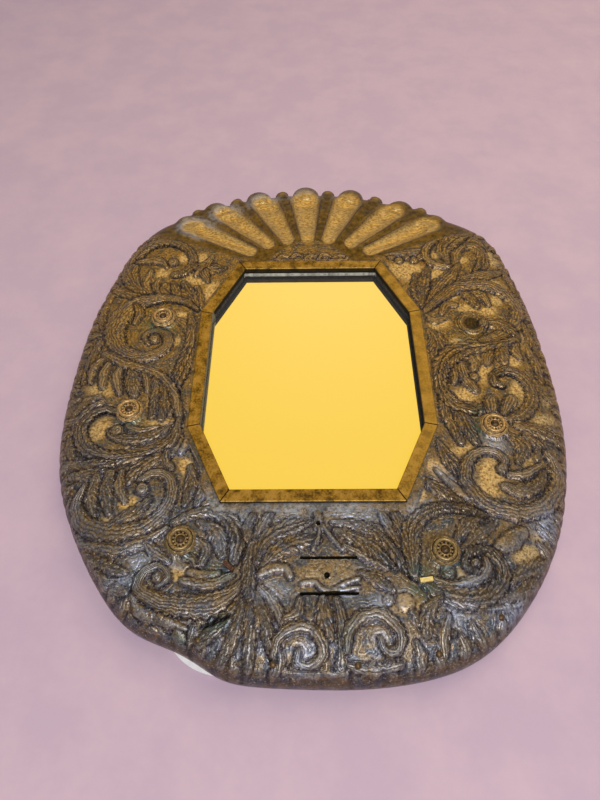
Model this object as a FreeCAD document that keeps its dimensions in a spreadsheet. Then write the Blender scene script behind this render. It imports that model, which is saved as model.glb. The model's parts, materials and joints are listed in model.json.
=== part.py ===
import FreeCAD, Part

import math
import os

import Sketcher
from FreeCAD import Placement, Rotation, Vector

# Embossed brass mirror frame with an eight-sided sight and a shell crest.
# It lies on its back, face up: X to the right, Y towards the crest, Z out of the face.
# The origin is the middle of the outline, on the plane of the back.

OVERALL = [
    ("overall_width", 432.0),
    ("overall_height", 521.0),
    ("sight_offset_y", -5.4),
    ("sight_half_top", 64.0),
    ("sight_half_width", 92.0),
    ("sight_half_side", 61.0),
    ("sight_half_height", 120.0),
    ("face_height", 31.0),
    ("cut_overrun", 3.0),
]

SHEET_METAL = [
    ("metal_thickness", 1.0),
    ("metal_gap", 0.3),
    ("skirt_top", 9.0),
    ("border_roll", 46.0),
    ("dent_depth", 8.0),
    ("dent_length", 92.0),
    ("dent_x", -98.0),
    ("seat_height", 2.0),
    ("seat_flare", 1.5),
]

CREST = [
    ("flute_start", 55.5),
    ("flute_start_growth", 15.0),
    ("flute_reach", 114.0),
    ("flute_reach_growth", 20.0),
    ("lobe_reach", 140.5),
    ("lobe_reach_growth", 24.0),
    ("lobe_radius", 16.5),
    ("lobe_taper", 2.0),
    ("knob_reach", 145.0),
    ("knob_reach_growth", 24.0),
    ("fan_half_angle", 58.0),
    ("flute_tip_radius", 15.5),
    ("flute_tip_taper", 3.0),
    ("flute_root_radius", 6.5),
    ("flute_tip_depth", 6.0),
    ("flute_root_depth", 2.6),
    ("root_lip_width", 2.5),
    ("lip_tip_height", 29.0),
    ("lip_root_height", 33.5),
    ("rib_root_radius", 2.6),
    ("knob_radius", 8.0),
    ("knob_top_height", 28.0),
]

SIGHT_STRIPS = [
    ("strip_width", 10.5),
    ("strip_thickness", 3.0),
    ("strip_round", 0.9),
    ("strip_lip_thickness", 1.2),
    ("strip_lip_drop", 2.0),
    ("strip_lip_gap", 0.3),
    ("mitre_gap", 0.15),
]

MIRROR_AND_BACK = [
    ("glass_face_height", 24.0),
    ("glass_thickness", 3.0),
    ("rebate_width", 8.0),
    ("rebate_clearance", 0.8),
    ("board_thickness", 6.0),
    ("sprig_size", 1.4),
    ("sprig_length", 14.0),
    ("sprig_bite", 6.0),
    ("card_thickness", 2.4),
    ("card_inset", 3.0),
    ("card_cut_x", -128.0),
    ("card_cut_depth", 14.0),
    ("card_cut_length", 84.0),
]

ROSETTES = [
    ("rosette_radius", 11.5),
    ("rosette_edge", 1.2),
    ("petal_rise", 2.6),
    ("ring_radius", 7.2),
    ("ring_height", 5.0),
    ("ring_width", 1.6),
    ("dish_height", 3.0),
    ("pin_clearance", 0.3),
    ("bowl_radius", 9.5),
    ("bowl_depth", 2.3),
    ("petal_notch", 1.5),
    ("bead_hole", 0.55),
    ("bead_depth", 1.0),
    ("pin_shank", 1.3),
    ("pin_head", 3.3),
    ("pin_head_height", 2.2),
    ("pin_length", 20.0),
]

CANDLE_ARM_SEAT = [
    ("slot_length", 41.0),
    ("slot_width", 2.2),
    ("slot_x", 10.5),
    ("upper_slot_y", -178.5),
    ("lower_slot_y", -204.0),
    ("slot_depth", 12.0),
    ("upper_hole_x", 3.5),
    ("upper_hole_y", -152.5),
    ("upper_hole_radius", 1.8),
    ("lower_hole_x", 9.0),
    ("lower_hole_y", -191.0),
    ("lower_hole_radius", 2.2),
    ("stub_size", 3.0),
    ("stub_shank", 12.0),
    ("stub_head", 9.0),
    ("stub_lift", 3.0),
]

NAILS = [
    ("nail_head", 2.4),
    ("nail_head_height", 1.4),
    ("nail_shank", 0.8),
    ("nail_length", 13.0),
    ("nail_inset", 11.0),
    ("nail_pitch", 58.0),
    ("crest_clear_share", 1.25),
]

HANGER = [
    ("hanger_y", 176.0),
    ("pocket_half_width", 19.0),
    ("pocket_above", 32.0),
    ("pocket_below", 42.0),
    ("pocket_depth", 9.4),
    ("plate_width", 15.0),
    ("plate_thickness", 1.5),
    ("plate_length", 38.0),
    ("plate_screw_near", 10.0),
    ("plate_screw_far", 30.0),
    ("screw_shank", 1.5),
    ("screw_head", 3.0),
    ("screw_head_height", 0.9),
    ("screw_length", 12.0),
    ("ring_wire", 1.4),
    ("ring_half_width", 12.0),
    ("ring_length", 20.0),
    ("ring_corner", 4.0),
    ("barrel_clearance", 0.08),
    ("barrel_wall", 1.3),
    ("hinge_height", 5.5),
]

# The outline from the foot, up the right side and down the left, as shares of the half width
# and half height. The sheet was beaten and trimmed by hand, so its two sides differ.
OUTLINE_SHARES = [
    (0.000, -1.000), (0.304, -0.987), (0.535, -0.926), (0.708, -0.803),
    (0.843, -0.643), (0.947, -0.424), (0.995, -0.188), (0.999, 0.049),
    (0.983, 0.277), (0.942, 0.493), (0.872, 0.665), (0.735, 0.763),
    (0.560, 0.827), (0.370, 0.886), (0.185, 0.926), (0.000, 0.937),
    (-0.185, 0.926), (-0.370, 0.886), (-0.560, 0.827), (-0.733, 0.761),
    (-0.845, 0.640), (-0.915, 0.475), (-0.972, 0.271), (-0.996, 0.048),
    (-0.996, -0.185), (-0.950, -0.420), (-0.830, -0.630), (-0.695, -0.787),
    (-0.525, -0.909), (-0.302, -0.980),
]

# Border profile from the skirt up to the flat face: share of the roll inwards, share of its rise.
BORDER_SHARES = [
    (0.00, 0.00), (0.03, 0.27), (0.12, 0.55), (0.32, 0.81), (0.62, 0.96), (1.00, 1.00),
]

# Directions of the seven flutes, in degrees to the right of straight up.
FLUTE_ANGLES = [-55.0, -42.0, -23.0, -1.5, 19.0, 41.0, 56.0]

# Places of the rosettes that are left, on the face.
ROSETTE_PLACES = {
    "rosette_left_upper": (-137.0, 51.0),
    "rosette_left_middle": (-152.0, -52.5),
    "rosette_left_lower": (-96.5, -166.0),
    "rosette_right_middle": (148.0, -69.0),
    "rosette_right_lower": (93.5, -174.5),
}

# Place of the sixth rosette, which is lost.
EMPTY_SEAT = (148.0, 42.5)

PETALS = 9
BEADS = 12
OUTLINE_POINTS = 72

STUB_PINS = {
    "stub_pin_left": (-63.0, -183.5, -38.0),
    "stub_pin_right": (75.0, -196.0, 8.0),
}


def make_sheet(doc):
    """Puts every driving size in the spreadsheet, under its alias."""
    sheet = doc.addObject("Spreadsheet::Sheet", "Sizes")
    row = 1
    groups = (OVERALL, SHEET_METAL, CREST, SIGHT_STRIPS, MIRROR_AND_BACK,
              ROSETTES, CANDLE_ARM_SEAT, NAILS, HANGER)
    for group in groups:
        for alias, value in group:
            sheet.set(f"A{row}", alias)
            sheet.set(f"B{row}", str(value))
            sheet.setAlias(f"B{row}", alias)
            row += 1
    doc.recompute()
    return sheet


DOC = FreeCAD.newDocument("antique_mirror")
SHEET = make_sheet(DOC)
ORIGIN = (-1, 1)
SUBPARTS = []


def size(alias):
    """A driving size, read from the spreadsheet."""
    return float(getattr(SHEET, alias))


def keep(obj, label):
    """Marks an object of the document as a sub-part, under the name of its file."""
    obj.Label = label
    SUBPARTS.append(obj)
    return obj


def feature(label, shape, place=None):
    """A sub-part, or a tool, whose shape is made directly."""
    obj = DOC.addObject("Part::Feature", label)
    obj.Shape = shape
    if place is not None:
        obj.Placement = place
    return obj


# Sketches

def bind(sketch, kind, first, second, value, expression):
    """Adds a distance between two points and ties it to the spreadsheet."""
    index = sketch.addConstraint(Sketcher.Constraint(kind, *first, *second, value))
    sketch.setExpression(f"Constraints[{index}]", expression)


def place_point(sketch, point, x, y, x_text, y_text):
    """Ties a point's place to the spreadsheet. A text gives the distance from the origin."""
    for kind, value, text in (("DistanceX", x, x_text), ("DistanceY", y, y_text)):
        if value == 0:
            axis = -2 if kind == "DistanceX" else -1
            sketch.addConstraint(Sketcher.Constraint("PointOnObject", *point, axis))
        elif value > 0:
            bind(sketch, kind, ORIGIN, point, value, text)
        else:
            bind(sketch, kind, point, ORIGIN, -value, text)


def sketch_on(body, role, name):
    """A sketch on one of a body's own origin planes."""
    sketch = body.newObject("Sketcher::SketchObject", name)
    plane = next(f for f in body.Origin.OriginFeatures if f.Role == role)
    sketch.AttachmentSupport = [(plane, "")]
    sketch.MapMode = "FlatFace"
    return sketch


def closed_outline(sketch, points):
    """Joins points with lines. Each point is (x, y, x expression, y expression) from the origin."""
    count = len(points)
    lines = []
    for index in range(count):
        a, b = points[index], points[(index + 1) % count]
        segment = Part.LineSegment(Vector(a[0], a[1], 0), Vector(b[0], b[1], 0))
        lines.append(sketch.addGeometry(segment, False))
    for index in range(count):
        following = lines[(index + 1) % count]
        sketch.addConstraint(Sketcher.Constraint("Coincident", lines[index], 2, following, 1))
    for line, (x, y, x_text, y_text) in zip(lines, points):
        place_point(sketch, (line, 1), x, y, x_text, y_text)


def circle(sketch, x, y, x_text, y_text, radius_text):
    """A circle whose centre and radius are tied to the spreadsheet."""
    geometry = Part.Circle(Vector(x, y, 0), Vector(0, 0, 1), 1.0)
    index = sketch.addGeometry(geometry, False)
    place_point(sketch, (index, 3), x, y, x_text, y_text)
    radius = sketch.addConstraint(Sketcher.Constraint("Radius", index, 1.0))
    sketch.setExpression(f"Constraints[{radius}]", radius_text)


# The eight-sided sight

SLOPE = "atan((Sizes.sight_half_height - Sizes.sight_half_side)" \
        " / (Sizes.sight_half_width - Sizes.sight_half_top))"
TOP_MITRE = f"tan({SLOPE} / 2)"
SIDE_MITRE = f"tan((90 deg - {SLOPE}) / 2)"


def sight_slope():
    """Angle of the four slanted sides from the level ones, in radians."""
    rise = size("sight_half_height") - size("sight_half_side")
    return math.atan2(rise, size("sight_half_width") - size("sight_half_top"))


def sight_corners(grow=0.0):
    """The sight's corners, clockwise from the upper left, with each side moved out by grow."""
    slope = sight_slope()
    top = size("sight_half_top") + grow * math.tan(slope / 2)
    side = size("sight_half_side") + grow * math.tan((math.pi / 2 - slope) / 2)
    wide = size("sight_half_width") + grow
    high = size("sight_half_height") + grow
    return [(-top, high), (top, high), (wide, side), (wide, -side),
            (top, -high), (-top, -high), (-wide, -side), (-wide, side)]


def sight_sketch(sketch, grow):
    """Draws the sight's outline with each side moved out by the expression grow."""
    top = f"Sizes.sight_half_top + ({grow}) * {TOP_MITRE}"
    side = f"Sizes.sight_half_side + ({grow}) * {SIDE_MITRE}"
    wide = f"Sizes.sight_half_width + ({grow})"
    high = f"Sizes.sight_half_height + ({grow})"
    texts = [(top, high), (top, high), (wide, side), (wide, side)] * 2
    closed_outline(sketch, [(x, y, *text) for (x, y), text in zip(sight_corners(), texts)])


def sight_plate(label, grow, thickness, bottom):
    """A flat plate with the sight's outline, as a body."""
    body = DOC.addObject("PartDesign::Body", label)
    sketch = sketch_on(body, "XY_Plane", f"{label}_outline")
    sight_sketch(sketch, grow)
    pad = body.newObject("PartDesign::Pad", f"{label}_pad")
    pad.Profile = sketch
    pad.setExpression("Length", thickness)
    body.Placement = Placement(Vector(0, size("sight_offset_y"), bottom), Rotation())
    return body


def sight_prism(grow, low, high):
    """A solid with the sight's outline, for cutting the opening and its rebate."""
    points = [Vector(x, y + size("sight_offset_y"), low) for x, y in sight_corners(grow)]
    face = Part.Face(Part.makePolygon(points + points[:1]))
    return face.extrude(Vector(0, 0, high - low))


# The outline and the rolled border

def base_curve():
    """The smooth outline, without the dent, as a closed curve."""
    wide, high = size("overall_width") / 2, size("overall_height") / 2
    curve = Part.BSplineCurve()
    curve.interpolate(Points=[Vector(x * wide, y * high, 0) for x, y in OUTLINE_SHARES], PeriodicFlag=True)
    return curve


def dent(point, dent_x, length, depth):
    """How far the foot's left side is pushed in at a point, as a smooth bump."""
    if point.y > 0:
        return 0.0
    share = abs(point.x - dent_x) / (length / 2)
    return depth * (1 + math.cos(math.pi * share)) / 2 if share < 1 else 0.0


def outline_wire(inset, height, dent_x, dent_length, dent_depth):
    """The outline moved in by inset, at a height, with a dent at the foot's left side."""
    curve = base_curve()
    first, last = curve.FirstParameter, curve.LastParameter
    points = []
    for index in range(OUTLINE_POINTS):
        at = first + (last - first) * index / OUTLINE_POINTS
        point, along = curve.value(at), curve.tangent(at)[0]
        inwards = Vector(-along.y, along.x, 0)
        depth = inset + dent(point, dent_x, dent_length, dent_depth)
        moved = point + inwards * depth
        points.append(Vector(moved.x, moved.y, height))
    edge = Part.BSplineCurve()
    edge.interpolate(Points=points, PeriodicFlag=True)
    return Part.Wire([edge.toShape()])


def metal_wire(inset, height):
    """The metal's own outline, dented at the foot."""
    return outline_wire(inset, height, size("dent_x"), size("dent_length"), size("dent_depth"))


def border_solid(shrink, bottom):
    """The cushion under the metal's face, made smaller all over by shrink."""
    low, high = size("skirt_top"), size("face_height")
    wires = []
    for inwards, upwards in BORDER_SHARES:
        inset = inwards * size("border_roll") + shrink
        wires.append(metal_wire(inset, low + upwards * (high - low) - shrink))
    roll = Part.makeLoft(wires, True, False)
    skirt = Part.Face(metal_wire(shrink, bottom)).extrude(Vector(0, 0, low - shrink - bottom))
    return roll.fuse(skirt)


# The shell crest

def capsule(start, end, start_radius, end_radius):
    """A round bar with ball ends, tapering from one ball to the other."""
    axis = end - start
    length = axis.Length
    sine = (end_radius - start_radius) / length
    cosine = math.sqrt(1 - sine * sine)
    half = math.asin(sine) / 2

    def on_ball(centre, radius, angle):
        return Vector(centre - radius * math.sin(angle), radius * math.cos(angle), 0)

    def ball_arc(centre, radius, first, middle, last):
        return Part.Arc(*(on_ball(centre, radius, a) for a in (first, middle, last))).toShape()

    quarter = math.pi / 2
    turn = math.asin(sine)
    back = ball_arc(0, start_radius, quarter, (quarter + turn) / 2, turn)
    front = ball_arc(length, end_radius, turn, half - quarter / 2, -quarter)
    side = Part.LineSegment(on_ball(0, start_radius, turn), on_ball(length, end_radius, turn)).toShape()
    tail, nose = Vector(-start_radius, 0, 0), Vector(length + end_radius, 0, 0)
    profile = Part.Wire([back, side, front, Part.LineSegment(nose, tail).toShape()])
    solid = Part.Face(profile).revolve(Vector(0, 0, 0), Vector(1, 0, 0), 360)
    solid.Placement = Placement(start, Rotation(Vector(1, 0, 0), axis))
    return solid


def fan_centre():
    """Where the flutes' axes meet, so far below the top that the middle lobe's end is the top."""
    return size("overall_height") / 2 - size("lobe_reach") - size("lobe_radius")


def fan_point(angle, reach, height):
    """A point of the crest, at an angle to the right of straight up from the fan's centre."""
    turn = math.radians(angle)
    return Vector(reach * math.sin(turn), fan_centre() + reach * math.cos(turn), height)


def fan_reach(alias, angle):
    """A distance from the fan's centre, which grows towards the ends of the fan."""
    return size(alias) + size(alias + "_growth") * (angle / size("fan_half_angle")) ** 2


def flute_tip_radius(angle):
    return size("flute_tip_radius") - size("flute_tip_taper") * abs(angle) / size("fan_half_angle")


def lobe(angle, shrink):
    """The rounded bar that a flute is sunk in, which ends in a lobe on the edge."""
    root = size("flute_root_radius") + size("root_lip_width")
    tip = size("lobe_radius") - size("lobe_taper") * abs(angle) / size("fan_half_angle")
    start = fan_point(angle, fan_reach("flute_start", angle), size("lip_root_height") - root)
    end = fan_point(angle, fan_reach("lobe_reach", angle), size("lip_tip_height") - tip)
    return capsule(start, end, root - shrink, tip - shrink)


def groove_radius(half_width, depth):
    """Radius of the round groove that has this half width and depth."""
    return (half_width ** 2 + depth ** 2) / (2 * depth)


def flute_lip_height(angle):
    """Height of the lobe's ridge above the middle of a flute's wide end."""
    start, end = fan_reach("flute_start", angle), fan_reach("lobe_reach", angle)
    share = (fan_reach("flute_reach", angle) - start) / (end - start)
    return size("lip_root_height") + (size("lip_tip_height") - size("lip_root_height")) * share


def flute_cutter(angle, shrink):
    """The tapered bar that hollows a flute."""
    root = groove_radius(size("flute_root_radius"), size("flute_root_depth"))
    tip = groove_radius(flute_tip_radius(angle), size("flute_tip_depth"))
    root_height = size("lip_root_height") - size("flute_root_depth") + root
    tip_height = flute_lip_height(angle) - size("flute_tip_depth") + tip
    start = fan_point(angle, fan_reach("flute_start", angle), root_height)
    end = fan_point(angle, fan_reach("flute_reach", angle), tip_height)
    return capsule(start, end, root + shrink, tip + shrink)


def rib(angle, shrink):
    """A thin rib between two flutes, which ends in a knob on the edge."""
    start_height = size("lip_root_height") - size("rib_root_radius")
    start = fan_point(angle, fan_reach("flute_start", angle), start_height)
    end_height = size("knob_top_height") - size("knob_radius")
    end = fan_point(angle, fan_reach("knob_reach", angle), end_height)
    return capsule(start, end, size("rib_root_radius") - shrink, size("knob_radius") - shrink)


def rib_angles():
    """Directions of the ribs: between neighbouring flutes."""
    return [(a + b) / 2 for a, b in zip(FLUTE_ANGLES, FLUTE_ANGLES[1:])]


def crest_solid(shrink, bottom):
    """The cushion with the shell crest on it, made smaller all over by shrink."""
    bars = [lobe(angle, shrink) for angle in FLUTE_ANGLES]
    bars += [rib(angle, shrink) for angle in rib_angles()]
    seats = [rosette_seat(x, y, shrink) for x, y in ROSETTE_PLACES.values()]
    solid = border_solid(shrink, bottom).multiFuse(bars + seats)
    below = Part.makeBox(size("overall_width") * 2, size("overall_height") * 2, size("overall_height"))
    below.translate(Vector(-size("overall_width"), -size("overall_height"), bottom - size("overall_height")))
    return solid.cut([flute_cutter(angle, shrink) for angle in FLUTE_ANGLES] + [below])


def rosette_seat(x, y, shrink):
    """The low round boss that a rosette sits on."""
    radius = size("rosette_radius") + size("seat_flare")
    low = size("face_height") - size("seat_height")
    top = size("face_height") + size("seat_height") - shrink
    return Part.makeCone(radius - shrink + size("seat_flare"), radius - size("seat_flare") - shrink,
                         top - low, Vector(x, y, low))


def empty_seat():
    """The seat of the lost rosette, which is hollowed to a shallow bowl."""
    x, y = EMPTY_SEAT
    radius = groove_radius(size("bowl_radius"), size("bowl_depth"))
    bowl = Part.makeSphere(radius, Vector(x, y, seat_top() - size("bowl_depth") + radius))
    return rosette_seat(x, y, 0.0).cut(bowl)


# The cuts that the fixings need

def arm_cuts(low, high):
    """The two slots and two holes at the foot, as solids from low to high."""
    cuts = []
    for alias in ("upper_slot_y", "lower_slot_y"):
        slot = Part.makeBox(size("slot_length"), size("slot_width"), high - low)
        x, y = size("slot_x") - size("slot_length") / 2, size(alias) - size("slot_width") / 2
        slot.translate(Vector(x, y, low))
        cuts.append(slot)
    for name in ("upper_hole", "lower_hole"):
        at = Vector(size(name + "_x"), size(name + "_y"), low)
        cuts.append(Part.makeCylinder(size(name + "_radius"), high - low, at))
    return cuts


def pin_holes():
    """Holes for the rosettes' pins, the lost one's too, and for the two bent pins."""
    depth = size("pin_length") + size("cut_overrun")
    radius = size("pin_shank") + size("pin_clearance")
    holes = []
    for x, y in [*ROSETTE_PLACES.values(), EMPTY_SEAT]:
        top = seat_top() + size("dish_height")
        holes.append(Part.makeCylinder(radius, depth, Vector(x, y, top - depth)))
    for x, y, angle in STUB_PINS.values():
        square = size("stub_size") + 2 * size("pin_clearance")
        deep = size("stub_shank") + size("pin_clearance")
        hole = Part.makeBox(square, square, deep + size("cut_overrun"))
        hole.translate(Vector(-square / 2, -square / 2, -deep))
        hole.Placement = stub_place(x, y, angle).multiply(hole.Placement)
        holes.append(hole)
    return holes


def nail_holes():
    """Holes for the border nails, square to the metal."""
    depth = size("nail_length") + size("pin_clearance")
    hole = Part.makeCylinder(size("nail_shank") + size("pin_clearance"), depth * 2, Vector(0, 0, -depth))
    holes = []
    for place in NAIL_PLACES:
        copy = hole.copy()
        copy.Placement = place
        holes.append(copy)
    return holes


def make_cover():
    """The embossed brass sheet: a thin shell with the crest, the sight and the arm's cuts."""
    thickness, overrun = size("metal_thickness"), size("cut_overrun")
    bottom = size("card_thickness")
    outer = crest_solid(0.0, bottom).fuse(empty_seat())
    inner = crest_solid(thickness, bottom - overrun)
    top = size("face_height") + overrun
    grow = size("strip_lip_thickness") + size("strip_lip_gap")
    opening = sight_prism(grow, bottom, top)
    cuts = arm_cuts(size("skirt_top"), top)
    return feature("embossed_cover", outer.cut([inner, opening] + cuts + pin_holes() + nail_holes()))


def pocket_box(low, high):
    """The space behind the frame where the hanging ring folds away."""
    half, below = size("pocket_half_width"), size("pocket_below")
    box = Part.makeBox(half * 2, below + size("pocket_above"), high - low)
    box.translate(Vector(-half, size("hanger_y") - below, low))
    return box


def make_core():
    """The wooden core under the metal: rebated for the glass, cut for the arm and the hanger."""
    back, overrun = size("card_thickness"), size("cut_overrun")
    shrink = size("metal_thickness") + size("metal_gap")
    solid = border_solid(shrink, back)
    grow = size("strip_lip_thickness") + size("strip_lip_gap")
    opening = sight_prism(grow, back - overrun, size("face_height") + overrun)
    rebate = sight_prism(size("rebate_width"), back - overrun, size("glass_face_height"))
    pocket = pocket_box(back - overrun, size("pocket_depth"))
    flutes = [flute_cutter(angle, shrink) for angle in FLUTE_ANGLES]
    face = size("face_height")
    cuts = arm_cuts(face - size("slot_depth"), face)
    cuts += pin_holes() + nail_holes() + screw_holes() + sprigs(size("pin_clearance"))
    return feature("wood_core", solid.cut([opening, rebate, pocket] + flutes + cuts))


def make_card():
    """The white card that closes the back. It shows under the dent at the foot."""
    wire = outline_wire(size("card_inset"), 0.0, size("card_cut_x"),
                        size("card_cut_length"), size("card_cut_depth"))
    card = Part.Face(wire).extrude(Vector(0, 0, size("card_thickness")))
    window = pocket_box(-size("cut_overrun"), size("card_thickness") + size("cut_overrun"))
    return feature("backing_card", card.cut(window))


# The sight strips

def mitre_outline(body, name, depth_alias, run, run_text, mitres, mitre_texts):
    """Sketches a strip seen from above: its sight edge lies along X, and both ends are mitred."""
    sketch = sketch_on(body, "XY_Plane", name)
    depth, gap = size(depth_alias), size("mitre_gap")
    depth_text = f"Sizes.{depth_alias}"
    closed_outline(sketch, [
        (gap, 0, "Sizes.mitre_gap", ""),
        (run - gap, 0, f"{run_text} - Sizes.mitre_gap", ""),
        (run + depth * mitres[1] - gap, depth,
         f"{run_text} + {depth_text} * {mitre_texts[1]} - Sizes.mitre_gap", depth_text),
        (gap - depth * mitres[0], depth,
         f"{depth_text} * {mitre_texts[0]} - Sizes.mitre_gap", depth_text),
    ])
    return sketch


def make_strip(label, start, end, run_text, mitres, mitre_texts):
    """One mitred brass strip of the sight, with a lip that turns down into the opening."""
    run = math.dist(start, end)
    body = DOC.addObject("PartDesign::Body", label)
    flange = body.newObject("PartDesign::Pad", f"{label}_flange")
    flange.Profile = mitre_outline(body, f"{label}_flange_outline", "strip_width",
                                   run, run_text, mitres, mitre_texts)
    flange.setExpression("Length", "Sizes.strip_thickness")
    lip = body.newObject("PartDesign::Pad", f"{label}_lip")
    lip.Profile = mitre_outline(body, f"{label}_lip_outline", "strip_lip_thickness",
                                run, run_text, mitres, mitre_texts)
    lip.Reversed = True
    lip.setExpression("Length", "Sizes.strip_lip_drop")
    DOC.recompute()
    rounded = body.newObject("PartDesign::Fillet", f"{label}_round")
    rounded.Base = (lip, top_long_edges(lip.Shape))
    rounded.setExpression("Radius", "Sizes.strip_round")
    angle = math.degrees(math.atan2(end[1] - start[1], end[0] - start[0]))
    base = Vector(start[0], start[1] + size("sight_offset_y"), size("face_height"))
    body.Placement = Placement(base, Rotation(Vector(0, 0, 1), angle))
    return keep(body, label)


def top_long_edges(shape):
    """Names of the two long edges along the top of a strip."""
    top = shape.BoundBox.ZMax
    level = [(n, e) for n, e in enumerate(shape.Edges, 1)
             if all(abs(v.Z - top) < 1e-6 for v in e.Vertexes)]
    level.sort(key=lambda item: -item[1].Length)
    return [f"Edge{n}" for n, _ in level[:2]]


def make_strips():
    """The eight strips, clockwise from the top."""
    names = ["top", "upper_right", "right", "lower_right", "bottom", "lower_left", "left", "upper_left"]
    level = "2 * Sizes.sight_half_top"
    upright = "2 * Sizes.sight_half_side"
    slanted = ("sqrt((Sizes.sight_half_width - Sizes.sight_half_top) ^ 2"
               " + (Sizes.sight_half_height - Sizes.sight_half_side) ^ 2)")
    lengths = [level, slanted, upright, slanted] * 2
    top_mitre = math.tan(sight_slope() / 2)
    side_mitre = math.tan((math.pi / 2 - sight_slope()) / 2)
    mitres = [top_mitre, top_mitre, side_mitre, side_mitre] * 2
    texts = [TOP_MITRE, TOP_MITRE, SIDE_MITRE, SIDE_MITRE] * 2
    corners = sight_corners()
    for index, name in enumerate(names):
        other = (index + 1) % len(names)
        make_strip(f"sight_strip_{name}", corners[index], corners[other], lengths[index],
                   (mitres[index], mitres[other]), (texts[index], texts[other]))


# The mirror and what holds it

def make_mirror():
    grow = "Sizes.rebate_width - Sizes.rebate_clearance"
    bottom = size("glass_face_height") - size("glass_thickness")
    keep(sight_plate("mirror_glass", grow, "Sizes.glass_thickness", bottom), "mirror_glass")
    bottom -= size("board_thickness")
    keep(sight_plate("backboard", grow, "Sizes.board_thickness", bottom), "backboard")


def sprigs(clearance):
    """Eight cut nails, one in each side of the rebate, or the holes for them."""
    corners = sight_corners(size("rebate_width"))
    square = size("sprig_size") + 2 * clearance
    length = size("sprig_length") + clearance
    pins = []
    for index, start in enumerate(corners):
        end = corners[(index + 1) % len(corners)]
        top = size("glass_face_height") - size("glass_thickness") - size("board_thickness")
        middle = Vector((start[0] + end[0]) / 2, (start[1] + end[1]) / 2 + size("sight_offset_y"),
                        top - size("sprig_size") / 2)
        outwards = math.degrees(math.atan2(end[1] - start[1], end[0] - start[0])) + 90
        pin = Part.makeBox(length, square, square)
        pin.translate(Vector(size("sprig_bite") - size("sprig_length"), -square / 2, -square / 2))
        pin.Placement = Placement(middle, Rotation(Vector(0, 0, 1), outwards)).multiply(pin.Placement)
        pins.append(pin)
    return pins


def make_sprigs():
    """The cut nails that hold the backboard in its rebate."""
    keep(feature("backboard_sprigs", Part.makeCompound(sprigs(0.0))), "backboard_sprigs")


# The rosettes

def revolved(body, name, points):
    """A full turn of a closed profile about the body's Z axis."""
    sketch = sketch_on(body, "XZ_Plane", f"{name}_profile")
    closed_outline(sketch, points)
    turn = body.newObject("PartDesign::Revolution", name)
    turn.Profile = sketch
    turn.ReferenceAxis = (sketch, ["V_Axis"])
    turn.Angle = 360
    return turn


def polar_pocket(body, name, x_text, radius_text, depth_text, count):
    """A round pocket from above, repeated about the body's axis."""
    sketch = sketch_on(body, "XY_Plane", f"{name}_circle")
    circle(sketch, 1.0, 0, x_text, "", radius_text)
    pocket = body.newObject("PartDesign::Pocket", name)
    pocket.Profile = sketch
    sketch.AttachmentOffset = Placement(Vector(0, 0, size("ring_height")), Rotation())
    sketch.setExpression("AttachmentOffset.Base.z", "Sizes.ring_height")
    pocket.setExpression("Length", depth_text)
    DOC.recompute()
    pattern = body.newObject("PartDesign::PolarPattern", f"{name}_pattern")
    pattern.Originals = [pocket]
    pattern.Axis = (sketch, ["N_Axis"])
    pattern.Angle = 360
    pattern.Occurrences = count
    body.Tip = pattern
    DOC.recompute()
    return pattern


def make_rosette(label, x, y):
    """A pressed rosette: notched petals round a raised ring with small round dots."""
    body = DOC.addObject("PartDesign::Body", label)
    hole, outer = "Sizes.pin_shank + Sizes.pin_clearance", "Sizes.rosette_radius"
    crest = "Sizes.ring_radius"
    inside = f"{crest} - Sizes.ring_width"
    outside = f"{crest} + Sizes.ring_width"
    revolved(body, f"{label}_turned", [
        (1, 0, hole, ""),
        (9, 0, outer, ""),
        (9, 1, outer, "Sizes.rosette_edge"),
        (6, 2, outside, "Sizes.petal_rise"),
        (5, 4, crest, "Sizes.ring_height"),
        (4, 4, inside, "Sizes.ring_height - Sizes.bead_hole"),
        (3, 3, "Sizes.pin_head + Sizes.pin_clearance", "Sizes.dish_height"),
        (1, 3, hole, "Sizes.dish_height"),
    ])
    DOC.recompute()
    polar_pocket(body, f"{label}_petals", outer, "Sizes.petal_notch", "Sizes.ring_height", PETALS)
    polar_pocket(body, f"{label}_beads", f"{inside} - Sizes.bead_hole * 1.5", "Sizes.bead_hole",
                 "Sizes.bead_depth + Sizes.bead_hole", BEADS)
    body.Placement = Placement(Vector(x, y, seat_top()), Rotation())
    return keep(body, label)


def seat_top():
    return size("face_height") + size("seat_height")


def turned_pin(shank, head, head_height, length):
    """A nail with a domed head: the head's underside is at the origin and the point is below."""
    dome = Part.makeSphere((head ** 2 + head_height ** 2) / (2 * head_height))
    dome.translate(Vector(0, 0, head_height - dome.BoundBox.ZMax))
    cap = dome.common(Part.makeCylinder(head, head_height))
    taper = 2 * shank
    rod = Part.makeCylinder(shank, length - taper, Vector(0, 0, taper - length))
    point = Part.makeCone(0, shank, taper, Vector(0, 0, -length))
    return cap.multiFuse([rod, point]).removeSplitter()


def make_rosette_pins():
    pin = turned_pin(size("pin_shank"), size("pin_head"), size("pin_head_height"), size("pin_length"))
    pins = []
    for x, y in ROSETTE_PLACES.values():
        copy = pin.copy()
        copy.translate(Vector(x, y, seat_top() + size("dish_height")))
        pins.append(copy)
    keep(feature("rosette_pins", Part.makeCompound(pins)), "rosette_pins")


def stub_place(x, y, angle):
    """Where a bent pin leaves the face, turned to the way that its end is bent."""
    return Placement(Vector(x, y, size("face_height")), Rotation(Vector(0, 0, 1), angle))


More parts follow.
